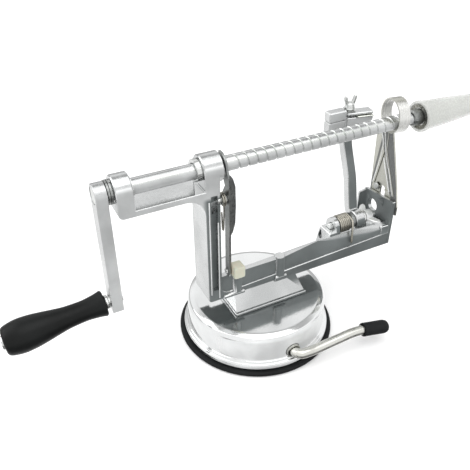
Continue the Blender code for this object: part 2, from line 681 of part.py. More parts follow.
def crank():
    outline = arc((0, SHAFT_Z), 6.6, -20, 200, 14) + [(-ARM_HALF_WIDTH, SHAFT_Z - 8), (-ARM_HALF_WIDTH, ARM_FOOT)]
    outline += [(ARM_HALF_WIDTH, ARM_FOOT), (ARM_HALF_WIDTH, SHAFT_Z - 8)]
    arm = plate("crank_arm", outline, HUB_BACK, HUB_FRONT, CAST, "YZ", edge=0.6)
    middle = (HUB_BACK + HUB_FRONT) / 2
    shaft_hole = rod("crank_bore", SHAFT_RADIUS + GAP, HUB_BACK - 2, HUB_FRONT + 2, (0, 0, SHAFT_Z), None,
                     steps=ROUND, cutter=True)
    pin_hole = rod("pin_hole", PIN_RADIUS + 0.7, -110, -80, (0, 0, PIN_Z), None, steps=ROUND, cutter=True)
    set_hole = rod("set_hole", 1.8, 4.0, 9.0, (middle, 0, SHAFT_Z), None, "Y", steps=12, cutter=True)
    cut(arm, shaft_hole, pin_hole, set_hole)
    screw = rod("crank_set_screw", 1.5, SHAFT_RADIUS + GAP, 6.4, (middle, 0, SHAFT_Z), DARK_STEEL, "Y", 12)

    turn = Matrix.Rotation(-math.pi / 2 - PIN_DROOP, 4, "Y")
    at = (middle, 0, PIN_Z)
    profile = [(0.0, -4.4), (PIN_RADIUS - 0.4, -4.4), (PIN_RADIUS, -4.0), (PIN_RADIUS, GRIP_END + GAP)]
    profile += [(4.3, GRIP_END + GAP), (4.0, GRIP_END + 1.3), (0.0, GRIP_END + 1.6)]
    pin = turned("crank_pin", profile, at, STEEL, turn, SMALL_ROUND)
    collar = turned("crank_collar", [(3.9, 4.1), (4.3, 4.5), (4.3, 5.6), (3.9, 6.0), (PIN_RADIUS + GAP, 6.0),
                                     (PIN_RADIUS + GAP, 4.1)], at, STEEL, turn, SMALL_ROUND)
    profile = [(7.4, GRIP_START), (7.8, GRIP_START + 1.0), (6.9, 12.2), (6.2, 20.6), (6.6, 29.0), (8.2, 39.0)]
    profile += [(9.6, 48.0), (10.0, 54.0), (9.3, 60.0), (8.4, 63.2), (7.4, GRIP_END)]
    profile += [(PIN_RADIUS + GAP, GRIP_END), (PIN_RADIUS + GAP, GRIP_START)]
    grip = turned("crank_grip", profile, at, BLACK_GRIP, turn, 28)
    return (arm, screw, pin, collar), grip


# ---------------------------------------------------------------- release lever

def release_lever():
    hook = arc((0.0, SHAFT_Z), 8.6, 78, 178, 8)
    outline = hook + [(-11.3, 126.0), (-11.3, 59.0), (-10.3, 56.6), (-6.8, 56.6), (-5.8, 59.0), (-5.8, 98.0)]
    outline += [(-3.4, 104.0), (-2.6, 108.0), (-2.6, 114.0), (-6.2, 120.0)]
    outline += list(reversed(arc((0.0, SHAFT_Z), SHAFT_RADIUS + 0.5, 84, 236, 12)))
    plate_body = plate("release_lever", outline, LEVER_BACK, LEVER_FRONT, DARK_STEEL, "YZ")
    side = [(LEVER_BACK, 126.0), (LEVER_FRONT - 0.2, 128.5), (-22.9, 126.0), (-21.5, 121.0), (-21.2, 108.0)]
    side += [(-21.6, 96.5), (-23.2, 90.5), (LEVER_BACK, 87.0)]
    wing = plate("lever_side", side, -11.8, -10.7, None, "XZ", cutter=True)
    join(plate_body, wing)
    cut(plate_body, rod("lever_hole", 2.3, -30, -20, (0, *LEVER_PIVOT), None, cutter=True))
    pad = box("thumb_pad", (LEVER_FRONT + GAP, -15.5, 56.6), (-16.2, -7.0, 65.0), CREAM, edge=1.2, segments=2)
    rivet = rod("pad_rivet", 1.6, LEVER_BACK - 1.3, LEVER_BACK - GAP, (0, -8.6, 60.4), STEEL, steps=12)
    pivot = joint_empty("release_lever_axis", (LEVER_BACK, *LEVER_PIVOT))
    attach(pivot, plate_body, pad, rivet)

    profile = [(0.0, COLUMN_FRONT - 1.7), (2.0, COLUMN_FRONT - 1.7), (2.0, LEVER_FRONT + GAP)]
    profile += [(2.9, LEVER_FRONT + GAP), (2.9, LEVER_FRONT + 1.4), (2.1, LEVER_FRONT + 2.1), (0.0, LEVER_FRONT + 2.1)]
    turned("lever_bolt", profile, (0, *LEVER_PIVOT), STEEL, steps=SMALL_ROUND)
    ring("lever_spacer", 2.3, 2.9, COLUMN_FRONT + GAP, LEVER_BACK - GAP, (0, *LEVER_PIVOT), STEEL,
         steps=SMALL_ROUND)
    wire("lever_spring", lever_spring_route(), 0.5, SPRING_WIRE, 1)


def lever_spring_route():
    """A hairpin leg down the column's edge, then nearly two turns round the pivot."""
    x = COLUMN_FRONT + 0.95
    y, z = LEVER_PIVOT
    leg = [(x, y - 0.6, 104.0), (x, y - 1.3, 94.0), (x, y - 2.0, 92.6), (x, y - 2.8, 94.0), (x, y - 3.6, 104.0)]
    coil = []
    for i in range(22):
        angle = math.radians(30 * i)
        coil.append((x + 2.1 * i / 21, y - 3.9 * math.cos(angle), z + 3.9 * math.sin(angle)))
    return leg + coil


# ---------------------------------------------------------------- peeling arm

def peeling_arm():
    line = smooth([(AXLE_Y, AXLE_Z), (9.0, 64.0), (11.0, 70.0), (13.2, 80.0), (15.3, 88.0), (19.0, 97.0),
                   (21.8, 103.5), (24.3, 110.5), (26.4, 120.4)], 3)
    half = ARM_THICK / 2
    near, far = [], []
    for i, (y, z) in enumerate(line):
        before = line[max(i - 1, 0)]
        after = line[min(i + 1, len(line) - 1)]
        tangent = Vector((after[0] - before[0], after[1] - before[1])).normalized()
        near.append((y - half * tangent.y, z + half * tangent.x))
        far.append((y + half * tangent.y, z - half * tangent.x))
    outline = far[2:] + list(reversed(near[2:]))
    arm = plate("peeling_arm", outline, ARM_BACK, ARM_FRONT, CAST, "YZ", edge=0.6)
    eye = rod("arm_eye", 6.6, ARM_BACK - 0.05, ARM_FRONT + 0.05, (0, AXLE_Y, AXLE_Z), None, steps=ROUND, cutter=True,
              edge=0.5)
    join(arm, eye)
    cut(arm, rod("eye_hole", AXLE_RADIUS + GAP, ARM_BACK - 2, ARM_FRONT + 2, (0, AXLE_Y, AXLE_Z), None,
                 cutter=True))
    pivot = joint_empty("peeling_arm_axis", (ARM_BACK, AXLE_Y, AXLE_Z))
    attach(pivot, arm, *peeling_head())

    centre = (0, AXLE_Y, AXLE_Z)
    rod("arm_axle", AXLE_RADIUS, AXLE_BACK, AXLE_FRONT, centre, STEEL, edge=0.4)
    inner = AXLE_RADIUS + GAP
    ring("spring_sleeve", inner, 4.2, EYE_FRONT + GAP, SPRING_END + 0.6, centre, STEEL, steps=SMALL_ROUND)
    back = SPRING_END + 0.9
    profile = [(5.8, back), (5.8, back + 1.1), (4.4, back + 1.1), (4.4, back + 1.5), (5.4, back + 1.5)]
    profile += [(5.4, ARM_BACK - GAP), (inner, ARM_BACK - GAP), (inner, back)]
    turned("arm_washer", profile, centre, DARK_STEEL)
    front = ARM_FRONT + GAP
    profile = [(5.8, front), (5.8, front + 1.0), (4.6, front + 1.0), (4.4, NUT_BACK - GAP), (inner, NUT_BACK - GAP)]
    profile += [(inner, front)]
    turned("axle_washer", profile, centre, STEEL)
    wing_nut()
    torsion_spring()


def turn_head(*things):
    """Turns pieces of the head about its own upright line."""
    bpy.context.view_layer.update()
    centre = Matrix.Translation(Vector((*HEAD_CENTRE, 0)) * MM)
    for thing in things:
        thing.matrix_world = centre @ Matrix.Rotation(HEAD_TURN, 4, "Z") @ centre.inverted() @ thing.matrix_world


def peeling_head():
    """The clamp at the arm's top: block and lower jaw, then holder, blade and cover at a slant."""
    block = box("clamp_block", (61.0, 17.5, 129.7), (74.4, 24.2, 136.3), CAST, edge=0.7)
    jaw = box("clamp_jaw", (61.4, 18.0, 120.6), (74.4, 24.6, 129.4), CAST, edge=0.6)
    outline = [(75.2, 121.2), (75.2, 131.0), (93.4, 131.0), (93.4, 128.4), (88.0, 124.4), (83.0, 121.2)]
    holder = plate("blade_holder", outline, 16.7, 24.6, CAST, "XZ", edge=0.5)
    blade = box("peeling_blade", (81.6, 15.4, 131.3), (93.0, 23.0, 132.1), BLADE_STEEL, edge=0.25)
    cover = box("blade_cover", (75.2, 16.9, 132.4), (93.4, 24.6, 134.2), CAST, edge=0.5)
    turn_head(holder, blade, cover)
    seat = rod("washer_seat", 4.9, 134.1, 140.0, (*CLAMP_SCREW, 0), None, "Z", 24, cutter=True)
    cut(block, seat)
    for thing in (holder, cover):
        cut(thing, rod("screw_hole", 2.1, 123.0, 140.0, (*CLAMP_SCREW, 0), None, "Z", steps=16, cutter=True))
    washer = ring("clamp_washer", 2.1, 4.5, 134.5, 135.5, (*CLAMP_SCREW, 0), STEEL, "Z", 24)
    spin = joint_empty("wing_screw_axis", (*CLAMP_SCREW, 135.8))
    attach(spin, wing_screw())
    return block, jaw, holder, blade, cover, washer, spin


def wing_screw():
    x, y = CLAMP_SCREW
    profile = [(0.0, 124.0), (1.8, 124.0), (1.8, 135.8), (3.3, 135.8), (3.5, 136.3), (3.0, 139.2), (2.0, 139.9)]
    profile += [(0.0, 139.9)]
    screw = turned("wing_screw", profile, (x, y, 0), STEEL, "Z", SMALL_ROUND)
    for side in (-1, 1):
        outline = [(x + side * across, z) for across, z in
                   ((0.9, 137.2), (2.6, 137.2), (3.5, 139.0), (4.5, 141.8), (4.7, 143.4), (4.0, 144.5), (2.9, 144.2),
                    (2.2, 142.0), (0.9, 139.2))]
        if side < 0:
            outline.reverse()
        join(screw, plate("screw_ear", outline, y - 1.1, y + 1.1, None, "XZ", edge=0.4, cutter=True))
    return screw


def wing_nut():
    """The nut that holds the arm on its axle: a round hub with two flared ears."""
    front = NUT_BACK + 5.6
    profile = [(4.7, NUT_BACK), (4.7, NUT_BACK + 1.0), (3.9, front), (AXLE_RADIUS + GAP, front)]
    profile += [(AXLE_RADIUS + GAP, NUT_BACK)]
    nut = turned("wing_nut", profile, (0, AXLE_Y, AXLE_Z), STEEL, steps=SMALL_ROUND)
    tilt = Matrix.Translation(Vector((0, AXLE_Y, AXLE_Z)) * MM) @ Matrix.Rotation(NUT_TILT, 4, "X")
    for side in (-1, 1):
        outline = [(x, side * r) for x, r in
                   ((NUT_BACK + 0.5, 3.5), (NUT_BACK + 0.5, 5.0), (NUT_BACK + 3.2, 9.0), (NUT_BACK + 5.2, 10.5),
                    (NUT_BACK + 7.4, 10.6), (NUT_BACK + 7.9, 8.8), (NUT_BACK + 6.4, 6.2), (front - 0.4, 3.5))]
        if side < 0:
            outline.reverse()
        ear = plate("nut_ear", outline, -1.2, 1.2, None, "XY", edge=0.4, cutter=True)
        ear.matrix_world = tilt @ ear.matrix_world
        boolean(nut, ear, "UNION")
    return nut


def torsion_spring():
    """A close coil round the sleeve whose last turn hooks over the beam's web."""
    turns, radius, thick = 6, 5.7, 0.75
    start = SPRING_START + thick
    pitch = (SPRING_END - thick - start) / turns
    coil = []
    for i in range(turns * 12 + 1):
        angle = math.radians(30 * i + 90)
        coil.append((start + pitch * i / 12, AXLE_Y + radius * math.cos(angle), AXLE_Z + radius * math.sin(angle)))
    x = SPRING_END
    hook = [(x - 0.8, -3.0, 64.6), (x - 2.0, -5.6, 61.8), (x - 3.0, -7.2, 58.2), (x - 3.8, -8.3, 55.2)]
    hook += [(x - 4.2, -9.1, 52.4), (x - 4.3, -9.3, 50.6)]
    wire("torsion_spring", coil + hook, thick, SPRING_WIRE, 1)


# ---------------------------------------------------------------- coring and slicing blade

def coring_blade():
    """A slicing plate across the shaft whose top carries the coring ring."""
    outline = [(-9.8, 62.5), (14.0, 62.5), (19.2, 66.0), (19.2, 74.4), (20.6, 111.0), (17.5, 122.0), (14.8, 130.0)]
    outline += [(13.6, 133.7), (6.0, 124.2), (4.8, 118.0), (2.2, 110.0), (-6.2, 84.0), (-9.8, 69.0)]
    blade = plate("coring_blade", outline, BLADE_BACK, BLADE_FRONT, BLADE_STEEL, "YZ")
    turn = Matrix.Rotation(RING_TURN, 4, "Z") @ AXES["X"]
    at = (RING_X, *RING_CENTRE)
    loop = rod("coring_ring", RING_OUTER, -RING_HALF_WIDTH, RING_HALF_WIDTH, at, None, turn, 40, cutter=True)
    clear = rod("ring_clearance", RING_INNER, -20, 20, at, None, turn, 40, cutter=True)
    ridge = [(-5.4, 75.6), (17.4, 75.6), (11.8, 106.0), (10.9, 121.5), (8.6, 121.5), (8.2, 106.0)]
    rib = plate("blade_rib", ridge, BLADE_BACK - 0.6, BLADE_BACK + 0.3, None, "YZ", edge=0.25, cutter=True)
    valley = plate("rib_valley", [(9.9, 104.0), (15.4, 77.0), (-3.3, 77.0)], BLADE_BACK - 2, BLADE_BACK - 0.05, None,
                   "YZ", cutter=True)
    cut(rib, valley)
    join(blade, loop, rib)
    slot = [*arc((6.3, 76.0), 2.5, 0, 180, 8), *arc((6.3, 72.0), 2.5, 180, 360, 8)]
    window = plate("blade_window", slot, 100.0, 110.0, None, "YZ", cutter=True)
    see_through = rod("blade_hole", MOUNT_HOLE_RADIUS, 100.0, 110.0, (0, *MOUNT_HOLE), None, cutter=True)
    rivet_hole = rod("rivet_hole", 1.5, 100.0, 110.0, (0, *RIVET), None, steps=12, cutter=True)
    cut(blade, clear, window, see_through, rivet_hole)
    for position in BLADE_SCREWS:
        cut(blade, rod("blade_screw_clear", 1.9, 100.0, 110.0, (0, *position), None, steps=12, cutter=True))
    for name, position in zip(("blade_screw_near", "blade_screw_far"), BLADE_SCREWS):
        profile = [(0.0, PLATE_BACK + 0.9), (1.6, PLATE_BACK + 0.9), (1.6, BLADE_FRONT + GAP)]
        profile += [(3.4, BLADE_FRONT + GAP), (3.0, BLADE_FRONT + 1.8), (0.0, BLADE_FRONT + 2.2)]
        turned(name, profile, (0, *position), STEEL, steps=SMALL_ROUND)
    profile = [(0.0, BLADE_BACK - 2.2), (1.8, BLADE_BACK - 2.2), (2.6, BLADE_BACK - 1.4), (2.6, BLADE_BACK - GAP - 0.6)]
    profile += [(1.2, BLADE_BACK - GAP - 0.6), (1.2, BLADE_FRONT + GAP), (2.3, BLADE_FRONT + GAP)]
    profile += [(1.8, BLADE_FRONT + 1.2), (0.0, BLADE_FRONT + 1.2)]
    turned("blade_rivet", profile, (0, *RIVET), DARK_STEEL, steps=16)
    return blade


# ---------------------------------------------------------------- assembly

def assemble():
    cast_frame()
    bushings()
    base_screws()
    suction_base()
    suction_lever()
    crank_pieces, grip = crank()
    shaft_axis = joint_empty("shaft_axis", (0, 0, SHAFT_Z))
    attach(shaft_axis, threaded_shaft(), *fork(), *crank_pieces, *thrust_washers())
    pin_axis = joint_empty("grip_axis", ((HUB_BACK + HUB_FRONT) / 2, 0, PIN_Z))
    attach(shaft_axis, pin_axis)
    attach(pin_axis, grip)
    attach(joint_empty("cap_axis", (CAP_MOUTH, 0, SHAFT_Z)), *cap())
    release_lever()
    peeling_arm()
    coring_blade()


assemble()
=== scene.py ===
"""Looks of the apple peeler corer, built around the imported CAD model.

The shapes are written in millimetres of the shared frame, and MM turns them into metres.
Places in the camera, the lights and the materials are in metres.
"""

import json
import math

import bmesh
import bpy
from mathutils import Matrix, Vector


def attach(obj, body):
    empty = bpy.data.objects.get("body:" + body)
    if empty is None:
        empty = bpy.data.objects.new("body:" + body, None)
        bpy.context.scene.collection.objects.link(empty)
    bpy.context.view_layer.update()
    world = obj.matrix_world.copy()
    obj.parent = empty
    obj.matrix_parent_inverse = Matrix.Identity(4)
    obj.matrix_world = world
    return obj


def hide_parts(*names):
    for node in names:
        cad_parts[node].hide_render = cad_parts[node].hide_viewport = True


MM = 0.001

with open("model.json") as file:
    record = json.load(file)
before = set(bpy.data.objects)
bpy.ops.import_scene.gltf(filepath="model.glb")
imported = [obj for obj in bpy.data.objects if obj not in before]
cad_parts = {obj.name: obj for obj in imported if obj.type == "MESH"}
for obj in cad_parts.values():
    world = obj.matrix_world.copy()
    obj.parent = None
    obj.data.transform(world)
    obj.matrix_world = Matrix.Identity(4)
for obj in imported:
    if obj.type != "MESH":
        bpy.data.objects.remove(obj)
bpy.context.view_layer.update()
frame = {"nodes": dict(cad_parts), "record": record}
scene = bpy.context.scene
scene.view_settings.view_transform = "Standard"


# ---------------------------------------------------------------- camera, floor and light

SENSOR_WIDTH = 36.0
LENS = 44.81
CLIP = (0.01, 50.0)
CAMERA_PLACE = (-0.1506, -0.2636, 0.2870)
CAMERA_HEADING = -27.06
CAMERA_PITCH = 90.0 - 35.13
CAMERA_ROLL = -0.09

WHITE = (1.0, 1.0, 1.0, 1.0)
FLOOR_HALF_WIDTH = 20.0
FLOOR_FINISH = {
    "Base Color": (0.93, 0.93, 0.93, 1.0),
    "Roughness": 0.9,
    "Specular IOR Level": 0.1,
    "Emission Color": WHITE,
    "Emission Strength": 0.12,
}

LAMP_SIZE = 1.2
LAMPS = (
    # name, place, what it points at, power
    ("key", (-0.9, 0.45, 0.95), (0.0, 0.0, 0.08), 7.0),
    ("top", (0.1, -0.3, 1.3), (0.0, 0.0, 0.0), 6.0),
)

# Brightness of each part of the studio, and where it lies as limits of the view direction's Z or Y.
FRONT_LEVELS = (1.12, 0.17)
FRONT_BELOW, FRONT_BEFORE = (-0.42, -0.12), (-0.45, 0.05)
CEILING_LEVELS = (1.0, 0.50)
CEILING_ABOVE, CEILING_BEYOND = (0.60, 0.85), (-0.30, -0.05)
WALL_LEVELS = (1.0, 0.52)
WALL_ABOVE, WALL_BELOW, WALL_BEYOND = (-0.30, -0.10), (0.28, 0.44), (0.25, 0.55)


def add_camera():
    camera = bpy.data.cameras.new("camera")
    camera.sensor_width = SENSOR_WIDTH
    camera.lens = LENS
    camera.clip_start, camera.clip_end = CLIP
    holder = bpy.data.objects.new("camera", camera)
    heading = Matrix.Rotation(math.radians(CAMERA_HEADING), 4, "Z")
    pitch = Matrix.Rotation(math.radians(CAMERA_PITCH), 4, "X")
    roll = Matrix.Rotation(math.radians(CAMERA_ROLL), 4, "Z")
    holder.matrix_world = Matrix.Translation(CAMERA_PLACE) @ heading @ pitch @ roll
    scene.collection.objects.link(holder)
    scene.camera = holder


def add_floor():
    mesh = bpy.data.meshes.new("floor")
    shape = bmesh.new()
    bmesh.ops.create_grid(shape, x_segments=1, y_segments=1, size=FLOOR_HALF_WIDTH)
    shape.to_mesh(mesh)
    shape.free()
    floor = bpy.data.objects.new("floor", mesh)
    scene.collection.objects.link(floor)
    surface = bpy.data.materials.new("floor_white")
    surface.use_nodes = True
    shader = surface.node_tree.nodes["Principled BSDF"]
    for socket, value in FLOOR_FINISH.items():
        shader.inputs[socket].default_value = value
    mesh.materials.append(surface)
    floor.visible_glossy = False


def add_light(name, location, target, power):
    lamp = bpy.data.lights.new(name, "AREA")
    lamp.shape = "SQUARE"
    lamp.size = LAMP_SIZE
    lamp.energy = power
    holder = bpy.data.objects.new(name, lamp)
    holder.location = location
    aim = Vector(target) - Vector(location)
    holder.rotation_euler = aim.to_track_quat("-Z", "Y").to_euler()
    scene.collection.objects.link(holder)


def ramp(tree, value, low, high, start, end):
    """start where value is low, end where it is high, smoothly between them."""
    node = tree.nodes.new("ShaderNodeMapRange")
    node.interpolation_type = "SMOOTHSTEP"
    node.clamp = True
    tree.links.new(value, node.inputs["Value"])
    limits = {"From Min": low, "From Max": high, "To Min": start, "To Max": end}
    for name, number in limits.items():
        node.inputs[name].default_value = number
    return node.outputs["Result"]


def rising(tree, value, low, high):
    """0 where value is low, 1 where it is high."""
    return ramp(tree, value, low, high, 0.0, 1.0)


def falling(tree, value, low, high):
    """1 where value is low, 0 where it is high."""
    return ramp(tree, value, low, high, 1.0, 0.0)


def math_node(tree, operation, first, second):
    node = tree.nodes.new("ShaderNodeMath")
    node.operation = operation
    for socket, value in zip(node.inputs, (first, second)):
        if isinstance(value, (int, float)):
            socket.default_value = value
        else:
            tree.links.new(value, socket)
    return node.outputs[0]


def times(tree, first, second):
    return math_node(tree, "MULTIPLY", first, second)


def coordinates(tree, kind):
    return tree.nodes.new("ShaderNodeTexCoord").outputs[kind]


def split_axes(tree, vector):
    """The X, Y and Z of a vector."""
    node = tree.nodes.new("ShaderNodeSeparateXYZ")
    tree.links.new(vector, node.inputs[0])
    return node.outputs["X"], node.outputs["Y"], node.outputs["Z"]


def add_studio():
    """A white studio that is dark low in front and grey on the ceiling and the rear wall.

    The camera itself sees plain white.
    """
    world = bpy.data.worlds.new("studio")
    world.use_nodes = True
    scene.world = world
    tree = world.node_tree
    background = tree.nodes["Background"]
    _, y, z = split_axes(tree, coordinates(tree, "Generated"))

    low_front = times(tree, falling(tree, z, *FRONT_BELOW), falling(tree, y, *FRONT_BEFORE))
    front = ramp(tree, low_front, 0.0, 1.0, *FRONT_LEVELS)
    high_rear = times(tree, rising(tree, z, *CEILING_ABOVE), rising(tree, y, *CEILING_BEYOND))
    ceiling = ramp(tree, high_rear, 0.0, 1.0, *CEILING_LEVELS)
    horizon = times(tree, rising(tree, z, *WALL_ABOVE), falling(tree, z, *WALL_BELOW))
    behind = times(tree, horizon, rising(tree, y, *WALL_BEYOND))
    wall = ramp(tree, behind, 0.0, 1.0, *WALL_LEVELS)
    studio = times(tree, front, times(tree, ceiling, wall))

    camera = tree.nodes.new("ShaderNodeLightPath").outputs["Is Camera Ray"]
    reflected = math_node(tree, "SUBTRACT", 1.0, camera)
    strength = math_node(tree, "ADD", times(tree, studio, reflected), camera)
    tree.links.new(strength, background.inputs["Strength"])
    background.inputs["Color"].default_value = WHITE


add_camera()
add_floor()
add_studio()
for name, location, target, power in LAMPS:
    add_light(name, location, target, power)


# ---------------------------------------------------------------- materials

EVEN = (1.0, 1.0, 1.0)
# Tones painted as light and shade: greys painted on faces towards -Y and down, painted light on the
# casting's sunk panel, and painted shade on the tops of round bosses.
PAINTED_LIGHT_GREY = (0.50, 0.51, 0.51)
PAINTED_SHADE_GREY = (0.135, 0.15, 0.15)
PAINTED_LIGHT_PALE_GREY = (0.74, 0.75, 0.75)
SUNK_PANEL_PAINTED_LIGHT = ((0.80, 0.81, 0.81), (0.92, 0.93, 0.93))
CROWN_PAINTED_SHADE = ((0.50, 0.51, 0.51), (0.62, 0.63, 0.63))

CLOUD_SCALE, CLOUD_DETAIL = 38.0, 4.0
NOISE_LIMITS = (0.3, 0.7)
GRAIN_DETAIL, GRAIN_DISTANCE = 2.0, 0.0002
SWELL_DETAIL, SWELL_DISTANCE = 1.5, 0.0012

PAINTED_SHADING_SPREAD = (0.82, 1.15)
MATTE_ROUGHNESS = 0.42
MATTE_METALLIC = 0.3
# The direction of the faces painted light or shade, and made rougher and less metallic, as Y
# and Z, and the cosines between which they fade in.
PAINTED_SHADING_DIRECTION = (-0.8, -0.6)
PAINTED_SHADING_FACING = (0.30, 0.52)

WORN_EDGE = (0.515, 0.60)
WORN_GAIN, WORN_LIFT = 1.5, 0.05

# Where the casting's painted light and shade change, as limits of a ramp along one axis.
UNDER_BRIDGE = (0.1135, 0.1165)
SUNK_FACE = (-0.0088, -0.0080)
BRACKET = (0.095, 0.099)
FACES_CRANK = (-0.9, -0.6)
FACES_UP = (0.66, 0.82)
CHANGE_WIDTH = 0.002


def noise(tree, place, scale, detail, stretch=EVEN):
    mapping = tree.nodes.new("ShaderNodeMapping")
    mapping.inputs["Scale"].default_value = stretch
    tree.links.new(place, mapping.inputs["Vector"])
    node = tree.nodes.new("ShaderNodeTexNoise")
    node.inputs["Scale"].default_value = scale
    node.inputs["Detail"].default_value = detail
    tree.links.new(mapping.outputs["Vector"], node.inputs["Vector"])
    return node.outputs["Fac"]


def mix_node(tree, factor):
    node = tree.nodes.new("ShaderNodeMix")
    node.data_type = "RGBA"
    tree.links.new(factor, node.inputs["Factor"])
    return node


def mixed_colour(tree, factor, first, second):
    """Between two fixed colours."""
    node = mix_node(tree, factor)
    node.inputs["A"].default_value = (*first, 1.0)
    node.inputs["B"].default_value = (*second, 1.0)
    return node.outputs["Result"]


def blended(tree, factor, first, second):
    """Between two colours that other nodes make."""
    node = mix_node(tree, factor)
    tree.links.new(first, node.inputs["A"])
    tree.links.new(second, node.inputs["B"])
    return node.outputs["Result"]


def bump(tree, height, strength, distance, after=None):
    node = tree.nodes.new("ShaderNodeBump")
    node.inputs["Strength"].default_value = strength
    node.inputs["Distance"].default_value = distance
    tree.links.new(height, node.inputs["Height"])
    if after:
        tree.links.new(after, node.inputs["Normal"])
    return node.outputs["Normal"]


def painted_shading_tone(tree, cloud, tone):
    low, high = PAINTED_SHADING_SPREAD
    return mixed_colour(tree, cloud, [low * c for c in tone], [high * c for c in tone])


def painted_front_shading(tree, place, cloud, tone, past=None):
    """(share, colour) of the painted light and shade on the faces towards -Y and down.

    past is (x, another tone): the beam beyond that x, below the bridge, is painted in the other
    tone as painted shade. The sunk panel before it is painted light, and the end bracket is also
    painted where it faces the crank.
    """
    facing_x, facing_y, facing_z = split_axes(tree, coordinates(tree, "Normal"))
    along_y, along_z = PAINTED_SHADING_DIRECTION
    toward = math_node(tree, "ADD", times(tree, facing_y, along_y), times(tree, facing_z, along_z))
    share = rising(tree, toward, *PAINTED_SHADING_FACING)
    near = painted_shading_tone(tree, cloud, tone)
    if past is None:
        return share, near
    step, other = past
    x, y, z = split_axes(tree, place)
    beyond = times(tree, rising(tree, x, step - CHANGE_WIDTH, step + CHANGE_WIDTH),
                   falling(tree, z, *UNDER_BRIDGE))
    near = blended(tree, rising(tree, y, *SUNK_FACE), near, mixed_colour(tree, cloud, *SUNK_PANEL_PAINTED_LIGHT))
    bracket = times(tree, rising(tree, x, *BRACKET), falling(tree, facing_x, *FACES_CRANK))
    share = math_node(tree, "MAXIMUM", share, bracket)
    return share, blended(tree, beyond, near, painted_shading_tone(tree, cloud, other))


def crown(tree, place, above):
    """Where a surface faces up and lies above a height: the painted shade on the tops of the round
    bosses.
    """
    facing_up = split_axes(tree, coordinates(tree, "Normal"))[2]
    height = split_axes(tree, place)[2]
    return times(tree, rising(tree, facing_up, *FACES_UP),
                 rising(tree, height, above, above + CHANGE_WIDTH))


def finish_material(name, tones, rough, metallic=1.0, grain=(900.0, 0.15), stretch=EVEN,
                    swell=None, wear=0.0, painted_shading=None, past=None, painted_crown_above=None, **settings):
    """A surface whose tone, gloss and relief all vary.

    tones are the darker and the lighter colour of its broad cloudy patches, rough the limits of
    its roughness. grain and swell are the (scale, depth) of its fine and its broad relief. wear
    brightens its edges. matte, past and painted_crown_above are for painted_front_shading and
    crown: matte is the grey painted on the faces towards -Y and down as painted light or painted
    shade, and painted_crown_above the height above which upward tops get painted shade.
    """
    made = bpy.data.materials.new(name)
    made.use_nodes = True
    tree = made.node_tree
    shader = tree.nodes["Principled BSDF"]
    place = coordinates(tree, "Object")
    fine = noise(tree, place, grain[0], GRAIN_DETAIL, stretch)
    cloud = rising(tree, noise(tree, place, CLOUD_SCALE, CLOUD_DETAIL, stretch), *NOISE_LIMITS)
    colour = mixed_colour(tree, cloud, *tones)
    gloss = ramp(tree, fine, *NOISE_LIMITS, *rough)
    # Faces towards -Y and down: painted light or shade in the given grey, also rougher and less
    # metallic.
    if painted_shading:
        share, grey = painted_front_shading(tree, place, cloud, painted_shading, past)
        colour = blended(tree, share, colour, grey)
        gloss = math_node(tree, "MAXIMUM", gloss, ramp(tree, share, 0.0, 1.0, 0.0, MATTE_ROUGHNESS))
        tree.links.new(ramp(tree, share, 0.0, 1.0, metallic, MATTE_METALLIC),
                       shader.inputs["Metallic"])
    # Upward tops above the given height are painted in shade.
    if painted_crown_above:
        grey = mixed_colour(tree, cloud, *CROWN_PAINTED_SHADE)
        colour = blended(tree, crown(tree, place, painted_crown_above), colour, grey)
    if wear:
        edge = tree.nodes.new("ShaderNodeNewGeometry").outputs["Pointiness"]
        worn = times(tree, ramp(tree, edge, *WORN_EDGE, 0.0, wear), cloud)
        light = tones[1]
        worn_tone = [min(1.0, c * WORN_GAIN + WORN_LIFT) for c in light]
        bright = mixed_colour(tree, cloud, light, worn_tone)
        colour = blended(tree, worn, colour, bright)
    tree.links.new(colour, shader.inputs["Base Color"])
    tree.links.new(gloss, shader.inputs["Roughness"])
    normal = bump(tree, fine, grain[1], GRAIN_DISTANCE)
    if swell:
        broad = noise(tree, place, swell[0], SWELL_DETAIL)
        normal = bump(tree, broad, swell[1], SWELL_DISTANCE, normal)
    tree.links.new(normal, shader.inputs["Normal"])
    shader.inputs["Metallic"].default_value = metallic
    for socket, value in settings.items():
        shader.inputs[socket.replace("_", " ")].default_value = value
    return made
